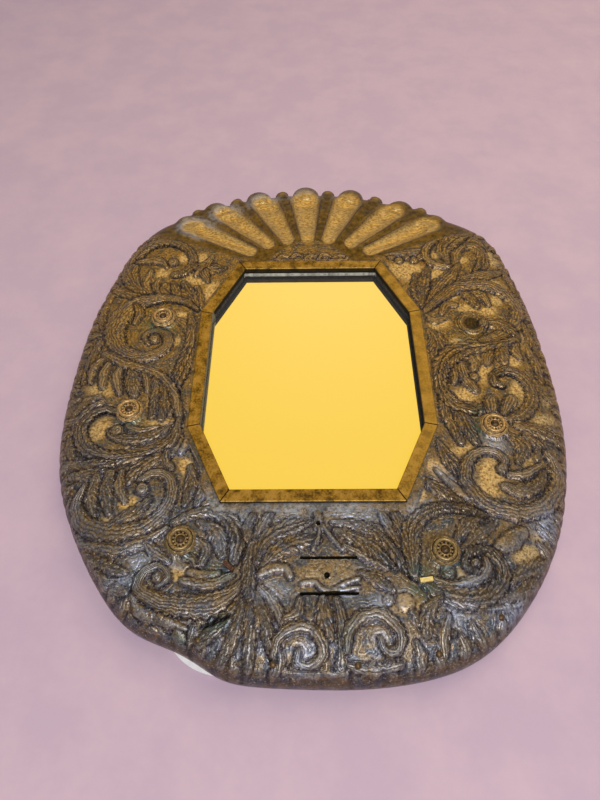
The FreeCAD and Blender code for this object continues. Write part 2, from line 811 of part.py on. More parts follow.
def make_stub_pin(label, x, y, angle):
    """What is left of a fixing: a square pin, bent over above the face."""
    square = size("stub_size")
    shank = Part.makeBox(square, square, size("stub_shank") + size("stub_lift"))
    shank.translate(Vector(-square / 2, -square / 2, -size("stub_shank")))
    head = Part.makeBox(size("stub_head"), square, square)
    head.translate(Vector(-square / 2, -square / 2, size("stub_lift") - square / 2))
    solid = shank.fuse(head).removeSplitter()
    solid.Placement = stub_place(x, y, angle)
    keep(feature(label, solid), label)


# The border nails

def border_height(inset):
    """Height of the rolled border at a distance in from the outline, from its profile."""
    low, high = size("skirt_top"), size("face_height")
    profile = Part.BSplineCurve()
    profile.interpolate(Points=[Vector(inwards * size("border_roll"), low + upwards * (high - low), 0)
                                for inwards, upwards in BORDER_SHARES])
    level = Part.makeLine(Vector(inset, -high, 0), Vector(inset, high * 2, 0))
    spot = profile.toShape().distToShape(level)[1][0][0]
    return spot.y


def nail_places():
    """Places of the border nails, at an even pitch and clear of the crest."""
    curve = base_curve()
    edge = curve.toShape()
    total = edge.Length
    count = round(total / size("nail_pitch"))
    inset, step = size("nail_inset"), size("nail_head")
    slope = (border_height(inset + step) - border_height(inset - step)) / (2 * step)
    height = border_height(inset)
    places = []
    for index in range(count):
        at = edge.getParameterByLength(total * (index + 0.5) / count)
        point, along = curve.value(at), curve.tangent(at)[0]
        above = point.y - fan_centre()
        limit = math.radians(size("fan_half_angle")) * size("crest_clear_share")
        if above > 0 and abs(math.atan2(point.x, above)) < limit:
            continue
        inwards = Vector(-along.y, along.x, 0)
        depth = inset + dent(point, size("dent_x"), size("dent_length"), size("dent_depth"))
        spot = point + inwards * depth
        normal = (Vector(0, 0, 1) - inwards * slope).normalize()
        spot = Vector(spot.x, spot.y, height) + normal * size("pin_clearance")
        places.append(Placement(spot, Rotation(Vector(0, 0, 1), normal)))
    return places


def make_border_nails():
    """Small round nails along the rolled border."""
    nail = turned_pin(size("nail_shank"), size("nail_head"), size("nail_head_height"), size("nail_length"))
    nails = []
    for place in NAIL_PLACES:
        copy = nail.copy()
        copy.Placement = place
        nails.append(copy)
    keep(feature("border_nails", Part.makeCompound(nails)), "border_nails")


# The hanger

def make_hanger_plate():
    """A strap with a rolled barrel for the ring, and two screw holes."""
    body = DOC.addObject("PartDesign::Body", "hanger_plate")
    strap = sketch_on(body, "XY_Plane", "strap_outline")
    half = "Sizes.plate_width / 2"
    closed_outline(strap, [
        (-5, 0, half, ""), (5, 0, half, ""),
        (5, -9, half, "Sizes.plate_length"), (-5, -9, half, "Sizes.plate_length"),
    ])
    rise = "Sizes.pocket_depth - Sizes.plate_thickness - Sizes.hinge_height"
    strap.setExpression("AttachmentOffset.Base.z", rise)
    pad = body.newObject("PartDesign::Pad", "strap")
    pad.Profile = strap
    pad.setExpression("Length", "Sizes.plate_thickness")
    barrel = sketch_on(body, "YZ_Plane", "barrel_outline")
    outer = "Sizes.ring_wire + Sizes.barrel_clearance + Sizes.barrel_wall"
    circle(barrel, 0, 0, "", "", outer)
    roll = body.newObject("PartDesign::Pad", "barrel")
    roll.Profile = barrel
    roll.Midplane = True
    roll.setExpression("Length", "Sizes.plate_width")
    bore = sketch_on(body, "YZ_Plane", "bore_outline")
    circle(bore, 0, 0, "", "", "Sizes.ring_wire + Sizes.barrel_clearance")
    DOC.recompute()
    eye = body.newObject("PartDesign::Pocket", "eye")
    eye.Profile = bore
    eye.Midplane = True
    eye.setExpression("Length", "Sizes.plate_width + Sizes.cut_overrun")
    holes = sketch_on(body, "XY_Plane", "screw_hole_circles")
    for alias in ("plate_screw_near", "plate_screw_far"):
        circle(holes, 0, -5, "", f"Sizes.{alias}", "Sizes.screw_shank + Sizes.pin_clearance")
    drilled = body.newObject("PartDesign::Pocket", "screw_holes")
    drilled.Profile = holes
    drilled.Reversed = True
    drilled.setExpression("Length", "Sizes.pocket_depth")
    DOC.recompute()
    body.Placement = Placement(Vector(0, size("hanger_y"), size("hinge_height")), Rotation())
    return keep(body, "hanger_plate")


def make_hanger_ring():
    """The D-shaped ring: its straight side is the pin in the strap's barrel."""
    half, length, corner = size("ring_half_width"), size("ring_length"), size("ring_corner")
    bow = half
    straight = length - bow
    diagonal = corner * (1 - math.sqrt(0.5))
    pieces = [
        Part.LineSegment(Vector(corner - half, 0, 0), Vector(half - corner, 0, 0)),
        Part.Arc(Vector(half - corner, 0, 0), Vector(half - diagonal, diagonal, 0), Vector(half, corner, 0)),
        Part.LineSegment(Vector(half, corner, 0), Vector(half, straight, 0)),
        Part.Arc(Vector(half, straight, 0), Vector(0, straight + bow, 0), Vector(-half, straight, 0)),
        Part.LineSegment(Vector(-half, straight, 0), Vector(-half, corner, 0)),
        Part.Arc(Vector(-half, corner, 0), Vector(diagonal - half, diagonal, 0), Vector(corner - half, 0, 0)),
    ]
    path = Part.Wire([p.toShape() for p in pieces])
    section = Part.Wire(Part.makeCircle(size("ring_wire"), Vector(corner - half, 0, 0), Vector(1, 0, 0)))
    ring = path.makePipeShell([section], True, False)
    place = Placement(Vector(0, size("hanger_y"), size("hinge_height")), Rotation())
    keep(feature("hanger_ring", ring, place), "hanger_ring")


def screw_places():
    """Where the hanger's two screws sit under the strap, pointing up."""
    places = []
    for alias in ("plate_screw_near", "plate_screw_far"):
        seat = Vector(0, size("hanger_y") - size(alias), size("pocket_depth") - size("plate_thickness"))
        places.append(Placement(seat, Rotation(Vector(1, 0, 0), 180)))
    return places


def screw_holes():
    """Holes in the core for the hanger's screws."""
    depth = size("screw_length") + size("pin_clearance")
    hole = Part.makeCylinder(size("screw_shank") + size("pin_clearance"), depth, Vector(0, 0, -depth))
    holes = []
    for place in screw_places():
        copy = hole.copy()
        copy.Placement = place
        holes.append(copy)
    return holes


def make_hanger_screws():
    """Two round-headed screws, which point up into the core."""
    screw = turned_pin(size("screw_shank"), size("screw_head"), size("screw_head_height"), size("screw_length"))
    screws = []
    for place in screw_places():
        copy = screw.copy()
        copy.Placement = place
        screws.append(copy)
    keep(feature("hanger_screws", Part.makeCompound(screws)), "hanger_screws")


def check(doc):
    """Stops if any object failed, or any sub-part isn't sound."""
    for obj in doc.Objects:
        if {"Invalid", "Error"} & set(obj.State):
            raise SystemExit(f"{obj.Label} is {obj.State}")
    for obj in SUBPARTS:
        if obj.Shape.isNull() or not obj.Shape.isValid() or not obj.Shape.Solids:
            raise SystemExit(f"{obj.Label} is not sound")


NAIL_PLACES = nail_places()


def main():
    keep(make_cover(), "embossed_cover")
    keep(make_core(), "wood_core")
    keep(make_card(), "backing_card")
    make_strips()
    make_mirror()
    make_sprigs()
    for label, (x, y) in ROSETTE_PLACES.items():
        make_rosette(label, x, y)
    make_rosette_pins()
    for label, (x, y, angle) in STUB_PINS.items():
        make_stub_pin(label, x, y, angle)
    make_border_nails()
    make_hanger_plate()
    make_hanger_ring()
    make_hanger_screws()
    DOC.recompute()
    check(DOC)
    os.makedirs("parts", exist_ok=True)
    for obj in SUBPARTS:
        obj.Shape.exportStep(f"parts/{obj.Label}.step")
        print(f"{obj.Label}: {len(obj.Shape.Solids)} solids, {obj.Shape.Volume:.0f} mm3")


main()
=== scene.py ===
import json
import math
from functools import partial

import bpy
import numpy as np
from mathutils import Matrix, Vector
from mathutils.bvhtree import BVHTree

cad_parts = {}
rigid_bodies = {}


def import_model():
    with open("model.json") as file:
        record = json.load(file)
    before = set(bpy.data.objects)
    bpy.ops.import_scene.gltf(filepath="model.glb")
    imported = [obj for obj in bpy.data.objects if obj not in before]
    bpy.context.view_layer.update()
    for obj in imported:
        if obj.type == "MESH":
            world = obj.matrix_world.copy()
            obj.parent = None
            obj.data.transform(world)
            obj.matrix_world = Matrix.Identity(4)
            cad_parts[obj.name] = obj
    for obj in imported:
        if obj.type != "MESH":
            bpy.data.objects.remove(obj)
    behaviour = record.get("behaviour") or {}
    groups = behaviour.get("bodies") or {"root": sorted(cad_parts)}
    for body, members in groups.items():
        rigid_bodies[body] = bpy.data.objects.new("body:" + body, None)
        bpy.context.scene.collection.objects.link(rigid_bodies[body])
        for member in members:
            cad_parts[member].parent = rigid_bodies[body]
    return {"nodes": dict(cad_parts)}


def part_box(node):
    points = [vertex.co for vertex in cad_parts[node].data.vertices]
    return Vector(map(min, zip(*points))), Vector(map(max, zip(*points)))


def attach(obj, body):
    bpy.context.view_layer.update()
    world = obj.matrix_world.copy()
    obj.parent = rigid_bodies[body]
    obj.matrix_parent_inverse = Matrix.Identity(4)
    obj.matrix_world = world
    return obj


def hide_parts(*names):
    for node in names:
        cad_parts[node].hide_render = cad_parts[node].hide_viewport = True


# Sizes in millimetres, as in the solids. Points of the ornament are given as the camera
# sees them in the plane of the sight's rim, from the sight's middle, X right and Y up.
SIGHT_Y = -5.4
HALF_TOP, HALF_WIDTH, HALF_SIDE, HALF_HEIGHT = 64.0, 92.0, 61.0, 120.0
SLANT = math.atan2(HALF_HEIGHT - HALF_SIDE, HALF_WIDTH - HALF_TOP)
FACE_Z, SKIRT_Z, BACK_Z = 31.0, 9.0, 2.4
RIM_Z = 34.0
AROUND = 1040
PATH_STEPS = 7

# Where make_camera puts the camera: from the sight's middle in the plane of its rim, and over it.
CAMERA_FOOT = (-5.4, -322.8)
CAMERA_RISE = 415.7

# The chased lines on the leaves, and those that follow the leaves on the ground between them. They
# lie 1 to 2 mm apart on the real sheet, too fine to show in the render, and are drawn 3 mm apart.
VEIN_GAP, ECHO_GAP = 3.0, 2.9

# The ornament stands this far above the sheet where the camera sees it. A leaf's edge has a tooth
# every SCALLOP mm. A groove has its place outside the edge, its half width and its depth. What a
# leaf does to the sheet ends LEAF_REACH outside its edge, and a point with no leaf near is FAR.
LEAF_LIFT = 1.5
SCALLOP = 6.5
LEAF_GROOVE, BOSS_GROOVE = (0.3, 0.62, 0.9), (0.5, 0.8, 0.8)
LEAF_REACH, FAR = 11, 40.0

# What the material reads at each point of the sheet, the first seven from the ornament.
LAYERS = ("leaf", "groove", "gold", "sheen", "teal", "dark", "vein")
SHEET_MASKS = (*LAYERS, "veined", "flute", "bowl", "rib", "high", "low")


# Small helpers

def srgb(code):
    """A colour written as sRGB hex, in linear values."""
    parts = [int(code[i:i + 2], 16) / 255 for i in (1, 3, 5)]
    return [p / 12.92 if p <= 0.04045 else ((p + 0.055) / 1.055) ** 2.4 for p in parts]


def smoothstep(low, high, x):
    """A smooth rise from 0 at low to 1 at high, or a fall where low is the greater."""
    t = np.clip((x - low) / (high - low), 0, 1)
    return t * t * (3 - 2 * t)


def even(points, count):
    """The same path with evenly spaced points."""
    step = np.linalg.norm(np.diff(points, axis=0), axis=1)
    along = np.concatenate([[0], np.cumsum(step)])
    at = np.linspace(0, along[-1], count)
    return np.stack([np.interp(at, along, points[:, k]) for k in range(points.shape[1])], axis=1)


def catmull(points):
    """A smooth open path through the points."""
    p = np.array(points, float)
    if len(p) == 2:
        return even(p, PATH_STEPS + 1)
    padded = np.vstack([2 * p[0] - p[1], p, 2 * p[-1] - p[-2]])
    out = []
    for i in range(1, len(padded) - 2):
        p0, p1, p2, p3 = padded[i - 1:i + 3]
        t = np.linspace(0, 1, PATH_STEPS, endpoint=False)[:, None]
        out.append(0.5 * (2 * p1 + (p2 - p0) * t + (2 * p0 - 5 * p1 + 4 * p2 - p3) * t ** 2
                          + (3 * p1 - p0 - 3 * p2 + p3) * t ** 3))
    out.append(p[-1:])
    return np.vstack(out)


# The surface under the ornament

def octagon_depth(x, y):
    """How far a point lies outside the sight, in mm."""
    ax, ay = np.abs(x), np.abs(y - SIGHT_Y)
    slanted = (ax - HALF_TOP) * math.sin(SLANT) + (ay - HALF_HEIGHT) * math.cos(SLANT)
    return np.maximum(np.maximum(ax - HALF_WIDTH, ay - HALF_HEIGHT), slanted)


def nearest(points, path):
    """Distance, side and place along the path (0 to 1), for many points."""
    start, step = path[:-1], np.diff(path, axis=0)
    length = np.maximum(np.linalg.norm(step, axis=1), 1e-9)
    total = length.sum()
    before = np.concatenate([[0], np.cumsum(length)[:-1]])
    best = np.full(len(points), 1e18)
    side = np.zeros(len(points))
    along = np.zeros(len(points))
    for s, d, l, b in zip(start, step, length, before):
        rel = points - s
        t = np.clip((rel @ d) / (l * l), 0, 1)
        gap = ((points - (s + t[:, None] * d)) ** 2).sum(1)
        hit = gap < best
        best[hit] = gap[hit]
        cross = d[0] * rel[:, 1] - d[1] * rel[:, 0]
        side[hit] = np.sign(cross[hit])
        along[hit] = (b + t[hit] * l) / total
    return np.sqrt(best), side, along


class Relief:
    """The beaten ornament: a height, and masks for the colour, at each point of the sheet."""

    def __init__(self, xy, height_of):
        self.xy = xy
        self.height_of = height_of
        for layer in ("h", *LAYERS):
            setattr(self, layer, np.zeros(len(xy)))
        self.near = np.full(len(xy), FAR)

    def real(self, points):
        """Moves points from where the camera sees them to where they lie on the surface."""
        out = []
        for x, y in points:
            z = FACE_Z + LEAF_LIFT
            px, py = x, y
            for _ in range(3):
                k = 1 + (RIM_Z - z) / CAMERA_RISE
                px = CAMERA_FOOT[0] + (x - CAMERA_FOOT[0]) * k
                py = CAMERA_FOOT[1] + (y - CAMERA_FOOT[1]) * k
                z = self.height_of(px, py + SIGHT_Y) + LEAF_LIFT
            out.append((px, py + SIGHT_Y))
        return np.array(out)

    def window(self, path, reach):
        """The numbers of the points that lie within reach of a path's box."""
        low, high = path.min(0) - reach, path.max(0) + reach
        return np.nonzero(((self.xy > low) & (self.xy < high)).all(1))[0]

    def lay(self, pick, gap, cover, body, groove, colour):
        """Lays a raised shape over what is there, with a groove round it."""
        off, half, depth = groove
        ring = np.exp(-((gap - off) / half) ** 2)
        self.h[pick] -= depth * ring
        self.h[pick] = self.h[pick] * (1 - cover) + body * cover
        self.leaf[pick] = self.leaf[pick] * (1 - cover) + colour * cover
        self.groove[pick] = np.maximum(self.groove[pick] * (1 - cover), ring)
        self.near[pick] = np.minimum(self.near[pick], np.maximum(gap, 0))

    def blade(self, points, widths, ribs=3, height=2.4, colour=1.0):
        """A raised band or leaf lobe along a path, with veins along it and a groove round it."""
        self.blade_at(self.real(points), widths, ribs, height, colour)

    def blade_at(self, points, widths, ribs, height, colour=1.0, under=False):
        """The same along a path that is already on the surface, or under what is there."""
        path = catmull(points)
        pick = self.window(path, max(widths) * 1.2 + LEAF_REACH)
        if under and len(pick):
            pick = pick[self.leaf[pick] < 0.3]
        if not len(pick):
            return
        d, side, s = nearest(self.xy[pick], path)
        length = np.linalg.norm(np.diff(path, axis=0), axis=1).sum()
        w = np.interp(s, np.linspace(0, 1, len(widths)), widths)
        leafy = max(widths) >= 4 and ribs > 1
        if leafy:
            teeth = np.abs(np.sin(np.pi * (s * length / SCALLOP + 0.25 * side)))
            w = w * (0.90 + 0.26 * teeth * np.sin(np.pi * np.clip(s, 0, 1)) ** 0.5)
        u = np.clip(side * d / w, -1, 1)
        cover = smoothstep(-0.5, 1.0, w - d)
        body = 0.95 * height * (1 - 0.55 * u * u)
        veins = np.zeros(len(pick))
        if ribs > 1:
            count = max(2, round(2 * max(widths) / VEIN_GAP))
            veins = count * (u + 1) / 2
            wave = np.abs(np.sin(np.pi * veins))
            body = body - 0.35 * (1 - np.minimum(wave * 1.3, 1)) * smoothstep(0.5, 3.0, w)
            if 3 <= ribs <= 4 and leafy:
                slanted = (0.93 * d - 0.36 * s * length) / VEIN_GAP
                veins = np.where(np.abs(u) > 0.30, slanted, veins)
        self.lay(pick, d - w, cover, body, LEAF_GROOVE, colour)
        self.vein[pick] = np.where(cover > 0.4, veins, self.vein[pick])

    def boss(self, x, y, radius, height, colour=1.0):
        """A round boss."""
        rel = self.xy - self.real([(x, y)])[0]
        d = np.linalg.norm(rel, axis=1)
        cover = smoothstep(-0.3, 1.2, radius - d)
        u = np.clip(d / radius, 0, 1)
        body = height * (0.9 - 0.4 * u * u)
        self.lay(slice(None), d - radius, cover, body, BOSS_GROOVE, colour)
        turn = np.arctan2(rel[:, 1], rel[:, 0]) / (2 * np.pi)
        self.vein = np.where(cover > 0.3, d / VEIN_GAP + turn, self.vein)

    def patch(self, layer, x, y, radius, amount, stretch, turn):
        """A soft patch in a colour mask."""
        rel = self.xy - self.real([(x, y)])[0]
        c, s = math.cos(math.radians(turn)), math.sin(math.radians(turn))
        along = (rel[:, 0] * c + rel[:, 1] * s) / stretch
        across = -rel[:, 0] * s + rel[:, 1] * c
        value = amount * np.exp(-(along ** 2 + across ** 2) / radius ** 2)
        mask = getattr(self, layer)
        mask[:] = np.maximum(mask, value)

    def line(self, points, width, depth, dark):
        """A sunk line, such as a slot, slit or seam."""
        path = catmull(self.real(points))
        pick = self.window(path, width + 3)
        d = nearest(self.xy[pick], path)[0]
        cover = 1 - smoothstep(width * 0.55, width * 0.55 + 0.9, d)
        self.h[pick] -= depth * cover
        self.dark[pick] = np.maximum(self.dark[pick], dark * cover)


# The ornament, region by region

def left_upper(r):
    """The scrolls and leaves at the upper left."""
    b = r.blade
    b([(-178, 152), (-166, 164), (-151, 177)], (4, 6, 3), 3, 1.6)
    b([(-187, 92), (-172, 87), (-156, 84)], (5, 5, 3), 3, 1.8)
    b([(-190, 86), (-195, 66), (-192, 46)], (3, 4, 4), 3, 1.6)
    b([(-152, 88), (-168, 96), (-177, 111), (-178, 130), (-171, 147), (-158, 158), (-142, 160),
       (-128, 153), (-119, 141), (-117, 128), (-123, 117), (-133, 113)],
      (3, 6, 8, 9, 9, 8, 6, 5, 4.5, 4.5, 5, 5), 4, 3.0)
    b([(-172, 131), (-159, 134), (-148, 131), (-142, 123)], (4, 5, 5, 2), 2)
    r.boss(-137, 131, 5.5, 2.6)
    b([(-153, 88), (-160, 101), (-157, 118)], (3, 4.5, 3), 2)
    b([(-144, 86), (-150, 97), (-147, 108)], (3, 4, 2.5), 2)
    b([(-135, 84), (-143, 93), (-141, 101)], (2.5, 3, 2), 1, 1.8)
    b([(-114, 125), (-101, 122), (-85, 122)], (5, 9, 3), 3, 1.9)
    b([(-106, 122), (-98, 139)], (6, 2.5), 2, 1.9)
    b([(-106, 118), (-100, 104)], (6, 2.5), 2, 1.9)
    b([(-107, 126), (-113, 112)], (4, 2), 1, 1.9)
    b([(-103, 68), (-107, 83), (-110, 96)], (2, 5, 3), 2, 2.2)
    b([(-110, 71), (-125, 85), (-134, 102)], (3, 6.5, 3), 3, 2.2)
    b([(-107, 70), (-116, 86), (-123, 102)], (2.5, 7, 3.5), 3, 2.6)
    b([(-123, 54), (-114, 47), (-111, 33)], (4, 6, 3), 2, 2.0)
    b([(-106, 66), (-120, 77), (-140, 81), (-160, 76), (-176, 61), (-180, 40), (-173, 21), (-157, 11),
       (-141, 12), (-130, 22), (-131, 34), (-142, 40), (-151, 34), (-147, 26)],
      (2, 4, 5, 7, 9, 11, 10, 8, 7, 6, 5, 5, 4, 3), 5, 3.1)
    r.boss(-142, 31, 5.5, 3.2)
    b([(-165, 72), (-160, 62), (-163, 50)], (3, 4.5, 3), 2, 2.2)
    b([(-112, 60), (-107, 30), (-112, 0), (-118, -25), (-113, -50)], (3, 6.5, 7, 6, 4), 4, 2.4)


def left_middle(r):
    """The scrolls and leaves beside the sight on the left."""
    b = r.blade
    b([(-191, 28), (-196, 5), (-197, -18)], (4, 4, 3), 3, 1.6)
    b([(-184, 10), (-191, -3), (-191, -17)], (3, 4.5, 3), 2)
    b([(-177, 6), (-181, -7), (-180, -22)], (3, 5, 3.5), 2)
    b([(-166, 1), (-169, -12), (-164, -29)], (3, 4.5, 3), 2)
    b([(-148, -4), (-143, -14), (-140, -27)], (3, 4, 2.5), 2)
    b([(-157, -1), (-155, -14), (-151, -30)], (4, 7, 5), 3, 2.7)
    b([(-135, -10), (-131, -30), (-133, -53)], (4, 6, 3.5), 3)
    b([(-121, -22), (-116, -38), (-118, -51)], (3, 4, 3), 2)
    b([(-128, -14), (-123, -34), (-125, -55)], (4, 5.5, 3.5), 3, 2.7)
    b([(-183, 13), (-165, 3), (-148, -3), (-132, -10), (-120, -24), (-113, -42), (-108, -62)],
      (5, 5, 4, 4, 4, 4, 3), 2, 2.9)
    b([(-180, -32), (-190, -38), (-198, -50)], (3, 5, 3), 3, 1.8)
    b([(-176, -37), (-187, -46), (-196, -62)], (3, 4, 3), 2, 1.8)
    b([(-194, -64), (-196, -80), (-190, -94)], (4, 4, 3), 3, 1.6)
    b([(-152, -62), (-140, -67), (-126, -63)], (3, 4, 2), 2, 2.0)
    b([(-110, -56), (-113, -74), (-126, -86), (-146, -91), (-166, -91), (-182, -82), (-189, -67),
       (-184, -53), (-172, -46), (-160, -49)], (2, 5, 6.5, 7, 6.5, 6, 6, 5, 4, 3), 4, 3.1)
    b([(-115, -60), (-128, -71), (-146, -75), (-160, -72), (-165, -67)], (2, 4, 5, 4.5, 4), 3, 2.8)
    r.boss(-159, -66, 5.5, 3.2)
    b([(-105, -62), (-100, -74), (-105, -87)], (2, 4, 3), 1, 2.2)
    b([(-104, -66), (-95, -82), (-88, -101)], (2, 3.5, 2), 2, 2.0)
    b([(-112, -88), (-124, -93), (-138, -104), (-147, -118)], (3, 5, 6, 3), 4, 2.4)
    b([(-116, -86), (-116, -95), (-110, -101)], (3, 4, 2.5), 2, 2.0)
    b([(-192, -98), (-178, -98), (-158, -97)], (4, 5, 3), 3, 1.8)
    b([(-188, -108), (-172, -106), (-154, -104)], (4, 5, 3), 3, 1.8)


def left_lower(r):
    """The scrolls and leaves at the lower left."""
    b = r.blade
    b([(-184, -122), (-182, -138), (-172, -152)], (4, 4, 3), 3, 1.6)
    b([(-168, -108), (-170, -124), (-164, -140)], (4, 5.5, 3), 3)
    b([(-158, -106), (-159, -122), (-153, -139)], (4, 5.5, 3), 3)
    b([(-149, -104), (-149, -117), (-143, -129)], (3, 4.5, 3), 2)
    b([(-152, -149), (-137, -141), (-124, -128)], (3, 6.5, 3), 3)
    b([(-175, -116), (-179, -132), (-171, -147), (-155, -155), (-137, -155), (-120, -147), (-110, -133),
       (-108, -119), (-114, -108), (-125, -106), (-133, -112)], (3, 5, 7, 8, 8, 7, 6, 5, 5, 4.5, 4), 5, 3.1)
    r.boss(-131, -119, 5.5, 3.2)
    b([(-96, -100), (-94, -115), (-97, -132)], (3, 5, 3), 3, 2.2)
    b([(-86, -106), (-84, -118), (-88, -132)], (3, 4.5, 3), 3, 2.0)
    b([(-177, -155), (-165, -164), (-145, -167), (-125, -162), (-108, -151)], (3, 4, 5, 5, 3), 2, 2.9)
    b([(-166, -171), (-151, -179), (-134, -184)], (4, 6, 3), 4, 1.9)
    b([(-154, -184), (-143, -194), (-131, -198)], (3, 5, 3), 3, 1.7)
    b([(-120, -164), (-112, -171), (-104, -176)], (4, 4.5, 2.5), 2, 2.0)
    b([(-92, -172), (-85, -176), (-84, -183)], (3, 3.5, 2), 2, 2.0)
    b([(-85, -146), (-72, -154), (-66, -171)], (3, 6.5, 4), 4, 2.5)
    b([(-86, -160), (-78, -167), (-80, -178)], (3, 4.5, 3), 2, 2.2)
    b([(-104, -147), (-91, -140), (-74, -139), (-61, -147), (-55, -160), (-57, -176)],
      (3, 4, 5, 6, 6, 4), 4, 3.0)
    b([(-58, -186), (-74, -192), (-92, -190)], (3, 5, 4), 2, 2.4)
    b([(-88, -184), (-77, -186), (-67, -184)], (3, 4, 2), 1, 2.0)
    b([(-86, -222), (-103, -216), (-120, -210), (-125, -199)], (2, 4.5, 5, 3), 1, 2.4)
    b([(-44, -184), (-55, -199), (-72, -207), (-92, -207), (-110, -203), (-122, -195), (-121, -185),
       (-111, -180), (-103, -187), (-109, -193)], (3, 6, 8.5, 8, 7, 5.5, 4.5, 4, 3.5, 3), 5, 3.1)
    r.boss(-110, -187, 4.5, 3.0)
    b([(-98, -232), (-106, -226), (-116, -222)], (3, 5, 3), 3, 1.6)
    b([(-92, -226), (-88, -232), (-89, -240)], (4, 6, 4), 1, 1.4)


def foot(r):
    """The leaves round the seat of the candle arm, and the two small scrolls under it."""
    b = r.blade
    b([(-46, -196), (-58, -214), (-76, -232)], (3, 5, 4), 3, 2.2)
    b([(-46, -198), (-52, -221), (-61, -244)], (3, 5, 4), 3, 2.2)
    b([(-43, -198), (-43, -223), (-44, -247)], (3, 5, 4), 3, 2.4)
    b([(-41, -197), (-34, -219), (-27, -241)], (3, 5, 3.5), 3, 2.2)
    b([(-38, -194), (-27, -207), (-20, -222)], (2.5, 4, 3), 2, 2.0)
    b([(-45, -166), (-49, -152), (-45, -141)], (3, 4, 3), 3, 2.2)
    b([(-43, -166), (-38, -151), (-32, -139)], (3, 5, 3.5), 3, 2.4)
    b([(-44, -164), (-46, -182), (-45, -202)], (4, 5.5, 4), 4, 2.9)
    b([(-40, -176), (-34, -161), (-19, -152), (-2, -146)], (4, 7, 7, 3), 4, 2.4)
    b([(-38, -182), (-25, -168), (-9, -162), (4, -160)], (3, 6, 6.5, 3), 4, 2.6)
    b([(-38, -186), (-29, -181), (-20, -182), (-17, -187)], (3, 4, 4, 3), 1, 2.4)
    b([(3, -139), (4, -150)], (3, 4.5), 1, 1.6)
    b([(5, -150), (3, -160), (-1, -168)], (2, 1.6, 1.6), 1, 1.8, colour=0.3)
    b([(7, -150), (14, -160), (21, -168)], (2, 1.8, 1.8), 1, 1.8, colour=0.3)
    b([(22, -165), (37, -172), (52, -181)], (2.5, 4.5, 3), 2, 2.2)
    b([(16, -153), (32, -159), (46, -168), (58, -181)], (3, 6.5, 7.5, 3), 4, 2.6)
    b([(13, -147), (30, -149), (44, -153), (54, -163), (62, -176), (69, -187)],
      (2, 4, 5, 5.5, 5.5, 3), 3, 3.0)
    b([(66, -170), (57, -153), (51, -141)], (2.5, 4.5, 3.5), 3, 2.2)
    b([(69, -168), (65, -152), (60, -139)], (3, 5, 3.5), 3, 2.4)
    b([(-9, -192), (0, -191), (5, -196), (12, -197), (22, -192), (31, -189)],
      (2, 2.2, 2.2, 2, 2, 2), 1, 2.6, colour=0.7)
    b([(12, -198), (22, -196.6), (31, -195)], (1.2, 1.8, 1.6), 1, 2.8, colour=0.2)
    b([(32, -184), (44, -190), (54, -197)], (2, 5, 3), 3, 2.0)
    b([(6, -203), (6, -214), (9, -228)], (4, 6, 4), 3, 2.0)
    b([(15, -203), (18, -216), (18, -232)], (3, 4, 3), 2, 1.8)
    b([(-10, -203), (-12, -212), (-20, -216)], (3, 4, 3), 2, 1.8)
    b([(-27, -239), (-24, -228), (-15, -222), (-4, -222), (4, -230), (4, -240), (-4, -246), (-12, -243),
       (-11, -236)], (3, 3.5, 4, 4, 4, 4, 3.5, 3, 2.5), 2, 2.7)
    b([(21, -236), (23, -223), (32, -215), (44, -213), (53, -219), (57, -228), (54, -236), (46, -236),
       (43, -229)], (3, 4, 4.5, 4.5, 4.5, 4, 3.5, 3, 2.5), 2, 2.9)
    r.boss(62, -205, 6.5, 1.7, colour=0.3)
    r.boss(51, -203, 4.0, 1.2, colour=0.4)
    b([(22, -246), (38, -248), (56, -245)], (3, 4, 3), 2, 1.4)
    b([(66, -212), (76, -222), (92, -226)], (3, 5, 3), 3, 1.8)
    b([(-20, -250), (0, -251), (20, -250)], (2, 3, 2), 1, 1.2)


def right_lower(r):
    """The scrolls and leaves at the lower right."""
    b = r.blade
    b([(88, -134), (110, -133), (130, -138), (150, -146)], (2, 3, 3, 2), 1, 2.0)
    b([(84, -112), (97, -121), (112, -131)], (3, 6, 3), 4, 2.2)
    b([(104, -160), (112, -150), (123, -143)], (3, 5.5, 3), 3, 2.2)
    b([(108, -167), (120, -157), (133, -149)], (3, 5.5, 3), 3, 2.2)
    b([(133, -167), (142, -162), (152, -155)], (5, 8, 5), 1, 2.6)
    b([(70, -186), (70, -168), (72, -152), (82, -141), (96, -136), (112, -137), (127, -142)],
      (4, 6.5, 7, 5.5, 4.5, 4, 3), 4, 2.9)
    b([(132, -192), (147, -187), (167, -180)], (4, 7.5, 4), 4, 2.2)
    b([(130, -203), (144, -198), (158, -192)], (3, 5.5, 4), 3, 1.8)
    b([(92, -209), (112, -210), (134, -208), (146, -204)], (1.6, 1.6, 1.6, 1.6), 1, 1.5)
    b([(84, -190), (98, -194), (112, -190), (122, -182), (122, -173)], (3, 4, 4.5, 4, 3), 2, 2.6)
    b([(74, -190), (86, -199), (104, -203), (120, -200), (131, -190), (132, -178), (123, -169), (111, -171),
       (107, -180), (114, -184)], (3, 6, 7, 7, 6, 5, 4.5, 4, 3.5, 3), 4, 3.1)
    r.boss(114, -178, 4.0, 3.0)
    r.boss(94, -184, 5.5, 2.6)
    b([(86, -202), (77, -211), (74, -226)], (3, 5, 4), 3, 1.9)
    b([(90, -214), (86, -226), (84, -240)], (3, 4, 3), 2, 1.5)
    b([(168, -135), (178, -140), (184, -148)], (3, 4, 3), 2, 1.6)


